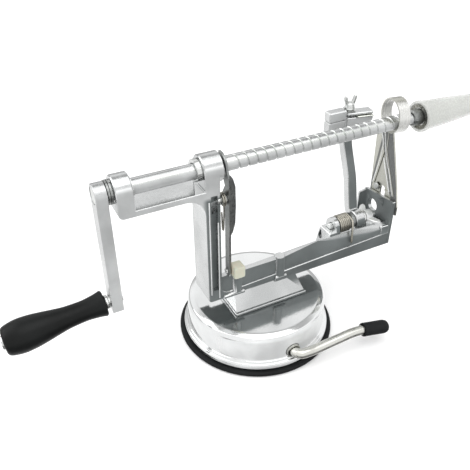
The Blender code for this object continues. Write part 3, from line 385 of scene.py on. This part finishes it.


# The three castings, the drum, the bright zinc and the rolled thread are painted light or shade on
# their faces towards -Y and down; the polished and satin castings and the rolled thread also have
# painted shade on their tops.
MATERIALS = {
    "cast_aluminium": finish_material(
        "polished_casting", ((0.50, 0.51, 0.51), (0.66, 0.67, 0.67)), (0.17, 0.30),
        grain=(700.0, 0.12), swell=(70.0, 0.12), painted_shading=PAINTED_LIGHT_GREY, past=(-0.0395, PAINTED_SHADE_GREY),
        painted_crown_above=0.125),
    "satin_casting": finish_material(
        "satin_casting", ((0.56, 0.57, 0.57), (0.70, 0.71, 0.71)), (0.22, 0.36),
        grain=(700.0, 0.12), swell=(60.0, 0.10), painted_shading=PAINTED_LIGHT_GREY, painted_crown_above=0.1285),
    "painted_shade_casting": finish_material(
        "painted_shade_casting", ((0.56, 0.57, 0.57), (0.70, 0.71, 0.71)), (0.20, 0.34),
        grain=(700.0, 0.12), swell=(60.0, 0.12), painted_shading=PAINTED_SHADE_GREY),
    "drum_chrome": finish_material(
        "drum_chrome", ((0.72, 0.73, 0.73), (0.80, 0.81, 0.81)), (0.07, 0.14),
        grain=(1100.0, 0.04), swell=(24.0, 0.05), painted_shading=PAINTED_LIGHT_PALE_GREY),
    "bright_zinc": finish_material(
        "bright_zinc", ((0.78, 0.79, 0.78), (0.88, 0.89, 0.88)), (0.28, 0.42), metallic=0.7,
        painted_shading=PAINTED_LIGHT_PALE_GREY),
    "chrome": finish_material(
        "bright_chrome", ((0.74, 0.75, 0.76), (0.83, 0.84, 0.85)), (0.05, 0.11),
        grain=(1200.0, 0.03), swell=(24.0, 0.04)),
    "steel": finish_material(
        "zinc_steel", ((0.58, 0.59, 0.58), (0.72, 0.73, 0.72)), (0.18, 0.32),
        grain=(1100.0, 0.12), stretch=(0.25, 1.0, 1.0)),
    "thread_steel": finish_material(
        "rolled_thread", ((0.62, 0.64, 0.62), (0.76, 0.77, 0.76)), (0.16, 0.30),
        grain=(1000.0, 0.15), stretch=(1.0, 0.3, 0.3), painted_shading=PAINTED_LIGHT_GREY, painted_crown_above=0.12),
    "blade_steel": finish_material(
        "blade_steel", ((0.42, 0.43, 0.41), (0.60, 0.61, 0.57)), (0.16, 0.28),
        grain=(900.0, 0.10), stretch=(1.0, 1.0, 0.12), wear=0.6),
    "mottled_collar": finish_material(
        "mottled_collar", ((0.10, 0.10, 0.09), (0.52, 0.52, 0.48)), (0.20, 0.40),
        grain=(500.0, 0.25), swell=(400.0, 0.3)),
    "dark_steel": finish_material(
        "dark_steel", ((0.22, 0.23, 0.23), (0.36, 0.37, 0.36)), (0.26, 0.42), wear=0.5),
    "spring_wire": finish_material(
        "spring_wire", ((0.27, 0.26, 0.22), (0.46, 0.44, 0.39)), (0.20, 0.36),
        grain=(1400.0, 0.12)),
    "nickel": finish_material(
        "satin_nickel", ((0.58, 0.58, 0.54), (0.72, 0.72, 0.68)), (0.22, 0.34),
        grain=(1000.0, 0.10), stretch=(0.2, 1.0, 1.0)),
    "black_rubber": finish_material(
        "black_rubber", ((0.004, 0.0045, 0.005), (0.009, 0.010, 0.011)), (0.50, 0.68),
        metallic=0.0, grain=(1500.0, 0.30), Specular_IOR_Level=0.2),
    "black_grip": finish_material(
        "black_grip", ((0.003, 0.0035, 0.0035), (0.007, 0.008, 0.008)), (0.34, 0.46),
        metallic=0.0, grain=(1300.0, 0.20), Specular_IOR_Level=0.18),
    "cream_plastic": finish_material(
        "cream_plastic", ((0.46, 0.46, 0.36), (0.54, 0.54, 0.44)), (0.40, 0.52), metallic=0.0,
        grain=(1200.0, 0.25), wear=0.2, Subsurface_Weight=0.05),
    "clear_plastic": finish_material(
        "frosted_plastic", ((0.60, 0.61, 0.58), (0.70, 0.71, 0.68)), (0.20, 0.32),
        metallic=0.0, grain=(900.0, 0.08), Alpha=0.55),
}


def dress(node):
    """Gives a CAD node the finish of its material slot."""
    mesh = frame["nodes"][node].data
    surface = MATERIALS[SLOTS[node]]
    if not mesh.materials:
        mesh.materials.append(surface)
    for i in range(len(mesh.materials)):
        mesh.materials[i] = surface


SLOTS = {row["node"]: row["material_slot"] for row in frame["record"]["subparts"]}
BODIES = {
    node: body for body, nodes in frame["record"]["behaviour"]["bodies"].items() for node in nodes
}
for node in frame["nodes"]:
    dress(node)


# The ridge and the seam are lines across the plate, as y against z.
RIDGE_SLOPE, RIDGE_LIMITS = 0.42, (-0.0338, -0.0330)
SEAM_SLOPE, SEAM_SHIFT, SEAM_LIMITS = -0.13, 0.0284, (0.0007, 0.0011)
PLATE_TOP = (0.1215, 0.1235)
RING_BOTTOM = (0.1225, 0.1245)
RING_FACING = (-0.55, -0.25)
BLADE_CLOUD = (60.0, 3.0, (1.0, 1.0, 0.3))
# Tones of the painted shade right of the ridge, and of the painted light on the coring ring's faces
# towards -Y.
BLADE_SHADE = ((0.10, 0.105, 0.105), (0.19, 0.195, 0.19))
RING_PAINTED_LIGHT = ((0.50, 0.50, 0.48), (0.74, 0.74, 0.72))


def slicing_blade():
    """Blade steel with painted shade right of its ridge, and painted light on its coring ring's
    faces towards -Y.
    """
    made = finish_material(
        "slicing_blade", ((0.42, 0.42, 0.38), (0.58, 0.58, 0.53)), (0.20, 0.32),
        grain=(900.0, 0.10), stretch=(1.0, 1.0, 0.12), wear=0.4)
    tree = made.node_tree
    shader = tree.nodes["Principled BSDF"]
    plain = shader.inputs["Base Color"].links[0].from_socket
    place = coordinates(tree, "Object")
    _, y, z = split_axes(tree, place)
    facing_x, facing_y, _ = split_axes(tree, coordinates(tree, "Normal"))

    from_ridge = math_node(tree, "SUBTRACT", y, times(tree, z, RIDGE_SLOPE))
    shade = falling(tree, from_ridge, *RIDGE_LIMITS)
    seam = math_node(tree, "ADD", times(tree, z, SEAM_SLOPE), SEAM_SHIFT)
    from_seam = math_node(tree, "ABSOLUTE", math_node(tree, "SUBTRACT", y, seam), 0.0)
    shade = math_node(tree, "MAXIMUM", shade, falling(tree, from_seam, *SEAM_LIMITS))
    shade = times(tree, shade, falling(tree, z, *PLATE_TOP))
    shade = times(tree, shade, falling(tree, facing_x, *FACES_CRANK))
    ring = times(tree, rising(tree, z, *RING_BOTTOM), falling(tree, facing_y, *RING_FACING))

    cloud = noise(tree, place, *BLADE_CLOUD)
    dark = mixed_colour(tree, cloud, *BLADE_SHADE)
    ring_painted_light = mixed_colour(tree, cloud, *RING_PAINTED_LIGHT)
    colour = blended(tree, ring, blended(tree, shade, plain, dark), ring_painted_light)
    tree.links.new(colour, shader.inputs["Base Color"])
    painted_shading = math_node(tree, "MAXIMUM", shade, ring)
    tree.links.new(ramp(tree, painted_shading, 0.0, 1.0, 1.0, MATTE_METALLIC), shader.inputs["Metallic"])
    return made


MATERIALS["slicing_blade"] = slicing_blade()


# ---------------------------------------------------------------- shape helpers

ON_AXIS = 1e-6
BEVEL_SEGMENTS = 2
MERGE_DISTANCE = 2e-6
FLAT_ANGLE = 0.6
NORMAL_WEIGHT = 80
# A bar's domed end: the width of its tip and shoulder, and the shoulder's distance from the tip.
DOME_TIP, DOME_SHOULDER, DOME_LENGTH = 0.55, 0.9, 0.18


def add_object(name, mesh, surface):
    """A new object with one finish and smooth shading."""
    mesh.materials.append(MATERIALS[surface])
    mesh.polygons.foreach_set("use_smooth", [True] * len(mesh.polygons))
    piece = bpy.data.objects.new(name, mesh)
    scene.collection.objects.link(piece)
    return piece


def add_piece(name, mesh, node, surface=None, angle=30.0, also=()):
    """A finer piece that stands for a CAD node and rides on the node's body.

    It has the finish of the node's slot, or of surface.
    """
    piece = add_object(name, mesh, surface or SLOTS[node])
    mesh.set_sharp_from_angle(angle=math.radians(angle))
    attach(piece, BODIES[node])
    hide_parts(node, *also)
    return piece


def to_mesh(name, shape):
    bmesh.ops.recalc_face_normals(shape, faces=shape.faces)
    mesh = bpy.data.meshes.new(name)
    shape.to_mesh(mesh)
    shape.free()
    return mesh


def axis_matrix(origin, direction):
    """Local Z along the direction, from the origin in millimetres."""
    turn = Vector(direction).to_track_quat("Z", "Y").to_matrix().to_4x4()
    return Matrix.Translation(Vector(origin) * MM) @ turn


def lathe(shape, profile, matrix, segments):
    """Adds a turned solid from (radius, distance) points; a radius of nought closes an end."""
    rings = []
    for radius, along in profile:
        if radius < ON_AXIS:
            rings.append([shape.verts.new(matrix @ Vector((0.0, 0.0, along * MM)))])
            continue
        ring = []
        for i in range(segments):
            angle = 2 * math.pi * i / segments
            point = Vector((radius * math.cos(angle), radius * math.sin(angle), along)) * MM
            ring.append(shape.verts.new(matrix @ point))
        rings.append(ring)
    closed = len(rings[0]) > 1 and len(rings[-1]) > 1
    pairs = list(zip(rings, rings[1:])) + ([(rings[-1], rings[0])] if closed else [])
    for first, second in pairs:
        for i in range(segments):
            j = (i + 1) % segments
            corners = [first[i % len(first)], first[j % len(first)],
                       second[j % len(second)], second[i % len(second)]]
            corners = list(dict.fromkeys(corners))
            if len(corners) > 2:
                shape.faces.new(corners)


def rounded(profile, radius, steps=4):
    """The profile with every inner corner turned into a small arc."""
    points = [Vector(point) for point in profile]
    found = [points[0]]
    for before, corner, after in zip(points, points[1:], points[2:]):
        reach = min(radius, (before - corner).length / 2.2, (after - corner).length / 2.2)
        start = corner + (before - corner).normalized() * reach
        end = corner + (after - corner).normalized() * reach
        for i in range(steps + 1):
            t = i / steps
            found.append(start.lerp(corner, t).lerp(corner.lerp(end, t), t))
    return [tuple(point) for point in (*found, points[-1])]


def smooth_line(points, count):
    """A Catmull-Rom curve through the points."""
    points = [Vector(point) for point in points]
    ends = [points[0], *points, points[-1]]
    found = []
    for before, start, end, after in zip(ends, ends[1:], ends[2:], ends[3:]):
        for i in range(count):
            t = i / count
            slope = (end - before) * t
            bend = (2 * before - 5 * start + 4 * end - after) * t * t
            twist = (3 * start - before - 3 * end + after) * t ** 3
            found.append(0.5 * (2 * start + slope + bend + twist))
    return found + [points[-1]]


def tube(shape, points, radius, sides):
    """Adds a round bar along the points, its ends domed."""
    points = [Vector(point) for point in points]
    side = (points[1] - points[0]).normalized().orthogonal().normalized()
    stations = []
    last = len(points) - 1
    for i, point in enumerate(points):
        ahead = (points[min(i + 1, last)] - points[max(i - 1, 0)]).normalized()
        side = (side - ahead * side.dot(ahead)).normalized()
        stations.append((point, side.copy(), ahead.cross(side), ahead))

    def ring(station, scale, shift):
        point, across, up, ahead = station
        verts = []
        for i in range(sides):
            angle = 2 * math.pi * i / sides
            spoke = (across * math.cos(angle) + up * math.sin(angle)) * radius * scale
            verts.append(shape.verts.new((point + (spoke + ahead * shift)) * MM))
        return verts

    dome = radius * DOME_LENGTH
    loops = [ring(stations[0], DOME_TIP, 0.0), ring(stations[0], DOME_SHOULDER, dome)]
    loops += [ring(station, 1.0, 0.0) for station in stations[1:-1]]
    loops += [ring(stations[-1], DOME_SHOULDER, -dome), ring(stations[-1], DOME_TIP, 0.0)]
    for first, second in zip(loops, loops[1:]):
        for i in range(sides):
            j = (i + 1) % sides
            shape.faces.new((first[i], first[j], second[j], second[i]))
    shape.faces.new(list(reversed(loops[0])))
    shape.faces.new(loops[-1])


def refined(name, node, edge, surface, angle=30.0):
    """The CAD node's own shape with softly rounded edges and smooth shading."""
    source = frame["nodes"][node]
    shape = bmesh.new()
    shape.from_mesh(source.data)
    bmesh.ops.remove_doubles(shape, verts=shape.verts, dist=MERGE_DISTANCE)
    bmesh.ops.dissolve_limit(shape, angle_limit=math.radians(FLAT_ANGLE), verts=shape.verts,
                             edges=shape.edges)
    mesh = bpy.data.meshes.new(name)
    shape.to_mesh(mesh)
    shape.free()
    piece = add_piece(name, mesh, node, surface, angle)
    if edge:
        soft = piece.modifiers.new("Edges", "BEVEL")
        soft.width = edge * MM
        soft.segments = BEVEL_SEGMENTS
        soft.limit_method = "ANGLE"
        soft.angle_limit = math.radians(angle)
        soft.harden_normals = True
    even = piece.modifiers.new("Normals", "WEIGHTED_NORMAL")
    even.keep_sharp = True
    even.weight = NORMAL_WEIGHT


def drilled(mesh, radius, start, end, place):
    """The mesh with a round hole through it."""
    shape = bmesh.new()
    profile = [(0.0, start), (radius, start), (radius, end), (0.0, end)]
    lathe(shape, profile, axis_matrix(*place), segments=40)
    solid = bpy.data.objects.new("solid", mesh)
    drill = bpy.data.objects.new("drill", to_mesh("drill", shape))
    scene.collection.objects.link(solid)
    scene.collection.objects.link(drill)
    cut = solid.modifiers.new("Cut", "BOOLEAN")
    cut.operation = "DIFFERENCE"
    cut.solver = "EXACT"
    cut.object = drill
    bpy.context.view_layer.update()
    graph = bpy.context.evaluated_depsgraph_get()
    made = bpy.data.meshes.new_from_object(solid.evaluated_get(graph))
    bpy.data.objects.remove(solid)
    bpy.data.objects.remove(drill)
    return made


def turned_piece(name, profile, place, node, soften, segments, surface=None, angle=35.0,
                 hole=None):
    """A lathed piece for a CAD node; soften rounds its profile, hole is for drilled."""
    shape = bmesh.new()
    if soften:
        profile = rounded(profile, soften)
    lathe(shape, profile, axis_matrix(*place), segments)
    mesh = to_mesh(name, shape)
    add_piece(name, drilled(mesh, *hole) if hole else mesh, node, surface, angle)


# ---------------------------------------------------------------- shaft

SHAFT_Z = 130.0
X_AXIS = ((0.0, 0.0, SHAFT_Z), (1.0, 0.0, 0.0))
SHAFT_RADIUS = 4.6
SHAFT_STEPS = 48
SHAFT_REAR, SHAFT_SHOULDER = -98.4, 103.1
THREAD_START, THREAD_END, THREAD_PITCH = -19.0, 101.2, 6.1
THREAD_RUNOUT = 2.5
GROOVE_DEPTH = 0.8
# One turn of the thread, as (share of the pitch, share of the depth).
GROOVE = (
    (0.0, 0.0), (0.03, 0.35), (0.07, 1.0), (0.15, 1.0), (0.19, 0.35), (0.22, 0.0), (0.26, 0.0),
    (0.6, 0.0), (0.97, 0.0),
)
NECK = ((0.0, 102.6), (3.6, 102.6), (3.6, 118.0), (0.0, 118.0))


def clamped(value, low, high):
    return min(max(value, low), high)


def shaft_mesh():
    """One long helical grid, so the groove's edges run true all the way round."""
    shape = bmesh.new()
    first = int((SHAFT_REAR - THREAD_START) / THREAD_PITCH) - 2
    last = int((SHAFT_SHOULDER - THREAD_START) / THREAD_PITCH) + 1
    stations = [(turn + share, deep) for turn in range(first, last + 1) for share, deep in GROOVE]
    columns = []
    for i in range(SHAFT_STEPS):
        angle = 2 * math.pi * i / SHAFT_STEPS
        column = []
        for place, deep in stations:
            x = THREAD_START + THREAD_PITCH * (place + i / SHAFT_STEPS)
            fade = (clamped((x - THREAD_START) / THREAD_RUNOUT, 0.0, 1.0)
                    * clamped((THREAD_END - x) / THREAD_RUNOUT, 0.0, 1.0))
            x = clamped(x, SHAFT_REAR, SHAFT_SHOULDER)
            radius = SHAFT_RADIUS - GROOVE_DEPTH * deep * fade
            y, z = radius * math.cos(angle), SHAFT_Z + radius * math.sin(angle)
            column.append(shape.verts.new(Vector((x, y, z)) * MM))
        columns.append(column)
    for i in range(SHAFT_STEPS):
        # After the last column the grid has gone round once, so it meets the next turn.
        shift = len(GROOVE) if i == SHAFT_STEPS - 1 else 0
        near, far = columns[i], columns[(i + 1) % SHAFT_STEPS]
        for j in range(len(stations) - 1 - shift):
            shape.faces.new((near[j + shift], far[j], far[j + 1], near[j + 1 + shift]))
    bmesh.ops.remove_doubles(shape, verts=shape.verts, dist=1e-6)
    bmesh.ops.dissolve_degenerate(shape, dist=1e-7, edges=shape.edges)
    stray = [edge for edge in shape.edges if not edge.link_faces]
    bmesh.ops.delete(shape, geom=stray, context="EDGES")
    rims = [edge for edge in shape.edges if edge.is_boundary]
    bmesh.ops.holes_fill(shape, edges=rims, sides=0)
    lathe(shape, rounded(NECK, 0.4), axis_matrix(*X_AXIS), segments=48)
    return to_mesh("shaft", shape)


add_piece("shaft", shaft_mesh(), "screw_shaft", "thread_steel", angle=40.0)


# ---------------------------------------------------------------- suction base

Z_AXIS = ((0.0, 0.0, 0.0), (0.0, 0.0, 1.0))
LEVER_PIVOT = (1.5, 0.0, 13.0)
RUBBER_DISC = [
    (0.0, 0.0), (46.0, 0.0), (51.2, 0.1), (52.5, 1.0), (52.5, 2.1), (51.4, 3.2), (49.0, 3.2),
    (0.0, 3.2),
]
DRUM_OUTSIDE = [
    (0.0, 28.2), (41.0, 28.2), (42.0, 28.15), (45.4, 27.0), (46.5, 24.2), (46.5, 10.6),
    (46.6, 9.2), (47.6, 8.6), (47.9, 7.6), (48.8, 7.2), (49.4, 6.2), (49.4, 4.2), (48.6, 3.5),
]
DRUM_INSIDE = [
    (47.0, 3.5), (47.0, 5.6), (45.6, 7.0), (45.0, 9.0), (45.0, 24.2), (43.4, 26.2), (41.6, 26.7),
    (0.0, 26.7),
]
ROD_HOLE = (5.0, 38.0, 60.0, (LEVER_PIVOT, (0.0, -1.0, 0.0)))

turned_piece("base_rubber", RUBBER_DISC, Z_AXIS, "suction_disc", soften=0.9, segments=160)
turned_piece("base_drum", DRUM_OUTSIDE + DRUM_INSIDE, Z_AXIS, "suction_drum", soften=0.8,
             segments=192, surface="drum_chrome", angle=50.0, hole=ROD_HOLE)


# ---------------------------------------------------------------- suction lever

ROD_RADIUS = 3.2
ROD_INNER_END = (0, 12.0, 0)
# From the pivot, out through the drum and along it.
ROD_ROUTE = [
    (0, -44.0, 0), (0.4, -48.6, 0), (2.6, -51.8, 0), (7.0, -52.6, 0), (14.0, -52.5, -0.3),
    (30.0, -52.2, 0.3), (43.0, -52.1, 0.7), (54.0, -52.8, -0.2), (61.0, -53.6, -1.4),
]
CAM = [(0.0, -3.6), (5.0, -3.6), (5.0, 3.6), (0.0, 3.6)]
CAM_DROP = (0, 0, 1.8)
TIP_START = (50.0, -52.45, 0.2)
TIP_END = (69.5, -54.7, -2.6)


def suction_lever():
    origin = Vector(LEVER_PIVOT)
    line = [origin + Vector(ROD_INNER_END), origin]
    line += [origin + point for point in smooth_line(ROD_ROUTE, count=8)]
    shape = bmesh.new()
    tube(shape, line, ROD_RADIUS, sides=32)
    cam_place = axis_matrix(origin - Vector(CAM_DROP), (0, 1, 0))
    lathe(shape, rounded(CAM, 0.4), cam_place, segments=48)
    add_piece("lever_rod", to_mesh("lever_rod", shape), "suction_rod", angle=50.0)

    start = Vector(TIP_START)
    along = Vector(TIP_END) - start
    length = along.length
    profile = [
        (0.0, 13.2), (3.7, 13.2), (3.7, 0.0), (4.3, 0.0), (4.6, 0.6), (4.6, 1.6), (4.4, 2.1),
        (4.55, 2.6), (4.6, length - 3.6), (4.0, length - 1.4), (2.5, length - 0.2), (0.0, length),
    ]
    turned_piece("rubber_tip", profile, (start + origin, along), "lever_tip", soften=0.5,
                 segments=48)


suction_lever()


# ---------------------------------------------------------------- crank grip and guard

GRIP_START = (-95.3, 0.0, 58.5)
GRIP_DROOP = math.radians(5.5)
GRIP_STATIONS = [
    (7.0, 6.3), (7.7, 6.9), (7.8, 7.6), (7.3, 9.6), (6.8, 12.6), (6.3, 17.0), (6.2, 21.0),
    (6.6, 29.0), (7.4, 34.5), (8.2, 39.0), (9.0, 43.8), (9.6, 48.0), (10.0, 54.0), (9.7, 58.0),
    (9.0, 61.6), (8.2, 63.6), (7.2, 64.45),
]
GRIP_BORE = [(3.6, 64.5), (3.3, 64.2), (3.3, 6.6), (3.6, 6.3)]

CAP_OUTSIDE = [
    (9.6, 118.4), (10.2, 118.7), (10.3, 119.2), (10.3, 121.0), (9.9, 121.7), (9.5, 127.0),
    (8.8, 140.0), (7.4, 158.0), (6.8, 165.4), (5.6, 167.5), (3.8, 168.0), (0.0, 168.0),
]
CAP_INSIDE = [
    (0.0, 166.5), (4.4, 166.0), (5.6, 164.4), (6.2, 158.0), (7.6, 140.0), (8.4, 127.0),
    (8.8, 118.4),
]
COLLAR = [(8.3, 119.0), (8.3, 120.8), (5.9, 120.8), (5.9, 119.0)]
COLLAR_TEETH = 18
TOOTH_CENTRE = (119.1, 7.2, 0.0)
TOOTH_SIZE = (0.8, 1.4, 0.7)


def crank_grip():
    place = (GRIP_START, (-math.cos(GRIP_DROOP), 0.0, -math.sin(GRIP_DROOP)))
    outside = [tuple(point) for point in smooth_line(GRIP_STATIONS, count=4)]
    turned_piece("grip", outside + GRIP_BORE, place, "crank_grip", soften=0.0, segments=96,
                 angle=40.0)


def cap():
    turned_piece("cap", CAP_OUTSIDE + CAP_INSIDE, X_AXIS, "prong_cap", soften=0.5, segments=96,
                 angle=50.0)
    shape = bmesh.new()
    lathe(shape, rounded(COLLAR, 0.3), axis_matrix(*X_AXIS), segments=72)
    centre = Matrix.Translation((0, 0, SHAFT_Z * MM))
    tooth = (Matrix.Translation(Vector(TOOTH_CENTRE) * MM)
             @ Matrix.Diagonal((*(side * MM for side in TOOTH_SIZE), 1.0)))
    for i in range(COLLAR_TEETH):
        turn = Matrix.Rotation(2 * math.pi * i / COLLAR_TEETH, 4, "X")
        bmesh.ops.create_cube(shape, size=1.0, matrix=centre @ turn @ tooth)
    add_piece("collar", to_mesh("collar", shape), "cap_collar", "mottled_collar")


crank_grip()
cap()


# ---------------------------------------------------------------- springs

ARM_COIL_CENTRE = (3.0, 60.0)
ARM_COIL_ENDS = (63.6, 73.6)
ARM_COIL_TURNS, ARM_COIL_RADIUS, ARM_WIRE = 6, 5.7, 0.75
ARM_COIL_STEPS = 28
ARM_HOOK = [
    (72.8, -3.0, 64.6), (71.6, -5.6, 61.8), (70.6, -7.2, 58.2), (69.8, -8.3, 55.2),
    (69.4, -9.1, 52.4), (69.3, -9.3, 50.6),
]

RELEASE_COIL_START = (-28.65, -7.5, 112.0)
RELEASE_COIL_TURNS, RELEASE_COIL_RADIUS, RELEASE_WIRE = 1.75, 3.9, 0.5
RELEASE_COIL_LENGTH = 2.1
RELEASE_COIL_STEPS = 63
# The hairpin below the coil, as (distance in -Y from the coil's centre, height).
RELEASE_LEG = ((0.6, 104.0), (1.3, 94.0), (2.0, 92.6), (2.8, 94.0), (3.6, 104.0))


def arm_spring():
    y, z = ARM_COIL_CENTRE
    start, end = ARM_COIL_ENDS[0] + ARM_WIRE, ARM_COIL_ENDS[1] - ARM_WIRE
    steps = ARM_COIL_TURNS * ARM_COIL_STEPS
    coil = []
    for i in range(steps + 1):
        angle = 2 * math.pi * i / ARM_COIL_STEPS + math.pi / 2
        coil.append((start + (end - start) * i / steps, y + ARM_COIL_RADIUS * math.cos(angle),
                     z + ARM_COIL_RADIUS * math.sin(angle)))
    shape = bmesh.new()
    hook = smooth_line([coil[-1], *ARM_HOOK], count=6)
    tube(shape, coil[:-1] + hook, ARM_WIRE, sides=14)
    add_piece("arm_spring", to_mesh("arm_spring", shape), "torsion_spring", angle=60.0)


def release_spring():
    x, y, z = RELEASE_COIL_START
    leg = [(x, y - out, height) for out, height in RELEASE_LEG]
    coil = []
    for i in range(RELEASE_COIL_STEPS + 1):
        angle = 2 * math.pi * i * RELEASE_COIL_TURNS / RELEASE_COIL_STEPS
        coil.append((x + RELEASE_COIL_LENGTH * i / RELEASE_COIL_STEPS,
                     y - RELEASE_COIL_RADIUS * math.cos(angle),
                     z + RELEASE_COIL_RADIUS * math.sin(angle)))
    shape = bmesh.new()
    tube(shape, smooth_line(leg, count=6) + coil, RELEASE_WIRE, sides=12)
    add_piece("release_spring", to_mesh("release_spring", shape), "lever_spring", angle=60.0)


arm_spring()
release_spring()


# ---------------------------------------------------------------- pieces from the CAD shapes

REFINED = (
    # node, width of its rounded edges, finish where it isn't the slot's
    ("cast_frame", 0.0, None),
    ("crank_arm", 0.25, "satin_casting"),
    ("peeling_arm", 0.25, "painted_shade_casting"),
    ("clamp_block", 0.2, "satin_casting"),
    ("clamp_jaw", 0.2, "satin_casting"),
    ("blade_holder", 0.15, "satin_casting"),
    ("blade_cover", 0.15, "satin_casting"),
    ("thumb_pad", 0.3, None),
    ("wing_nut", 0.0, "bright_zinc"),
    ("wing_screw", 0.0, None),
    ("release_lever", 0.18, None),
    ("coring_blade", 0.0, "slicing_blade"),
)
for node, edge, finish in REFINED:
    refined(f"{node}_finished", node, edge, finish)


# ---------------------------------------------------------------- raised lines

BLADE_FACE_X = 104.2
BLADE_RIDGE_RADIUS = 0.55
BLADE_RIDGES = (
    # (y, z) points
    ((15.2, 116.0), (12.2, 106.6), (13.8, 92.7), (17.2, 76.4)),
    ((12.4, 117.0), (7.3, 100.6), (1.5, 89.4), (-4.2, 75.6)),
    ((10.0, 99.0), (4.4, 87.0), (-1.0, 75.6)),
)
COLUMN_FACE_Y = -8.95
COLUMN_BEAD_RADIUS = 0.42
COLUMN_BEADS = (
    # x, lower and upper end
    (-36.8, 44.6, 113.0),
    (-31.4, 40.5, 98.0),
)


def raised_lines(name, lines, radius, node, surface):
    """Low beads pressed out of a surface."""
    shape = bmesh.new()
    for line in lines:
        tube(shape, smooth_line(line, count=5), radius, sides=12)
    piece = add_object(name, to_mesh(name, shape), surface)
    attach(piece, BODIES[node])


ridge_lines = [[(BLADE_FACE_X, y, z) for y, z in line] for line in BLADE_RIDGES]
bead_lines = [
    [(x, COLUMN_FACE_Y, z) for z in (low, (low + high) / 2, high)] for x, low, high in COLUMN_BEADS
]
raised_lines("blade_ridges", ridge_lines, BLADE_RIDGE_RADIUS, "coring_blade", "bright_zinc")
raised_lines("column_beads", bead_lines, COLUMN_BEAD_RADIUS, "cast_frame", "bright_zinc")
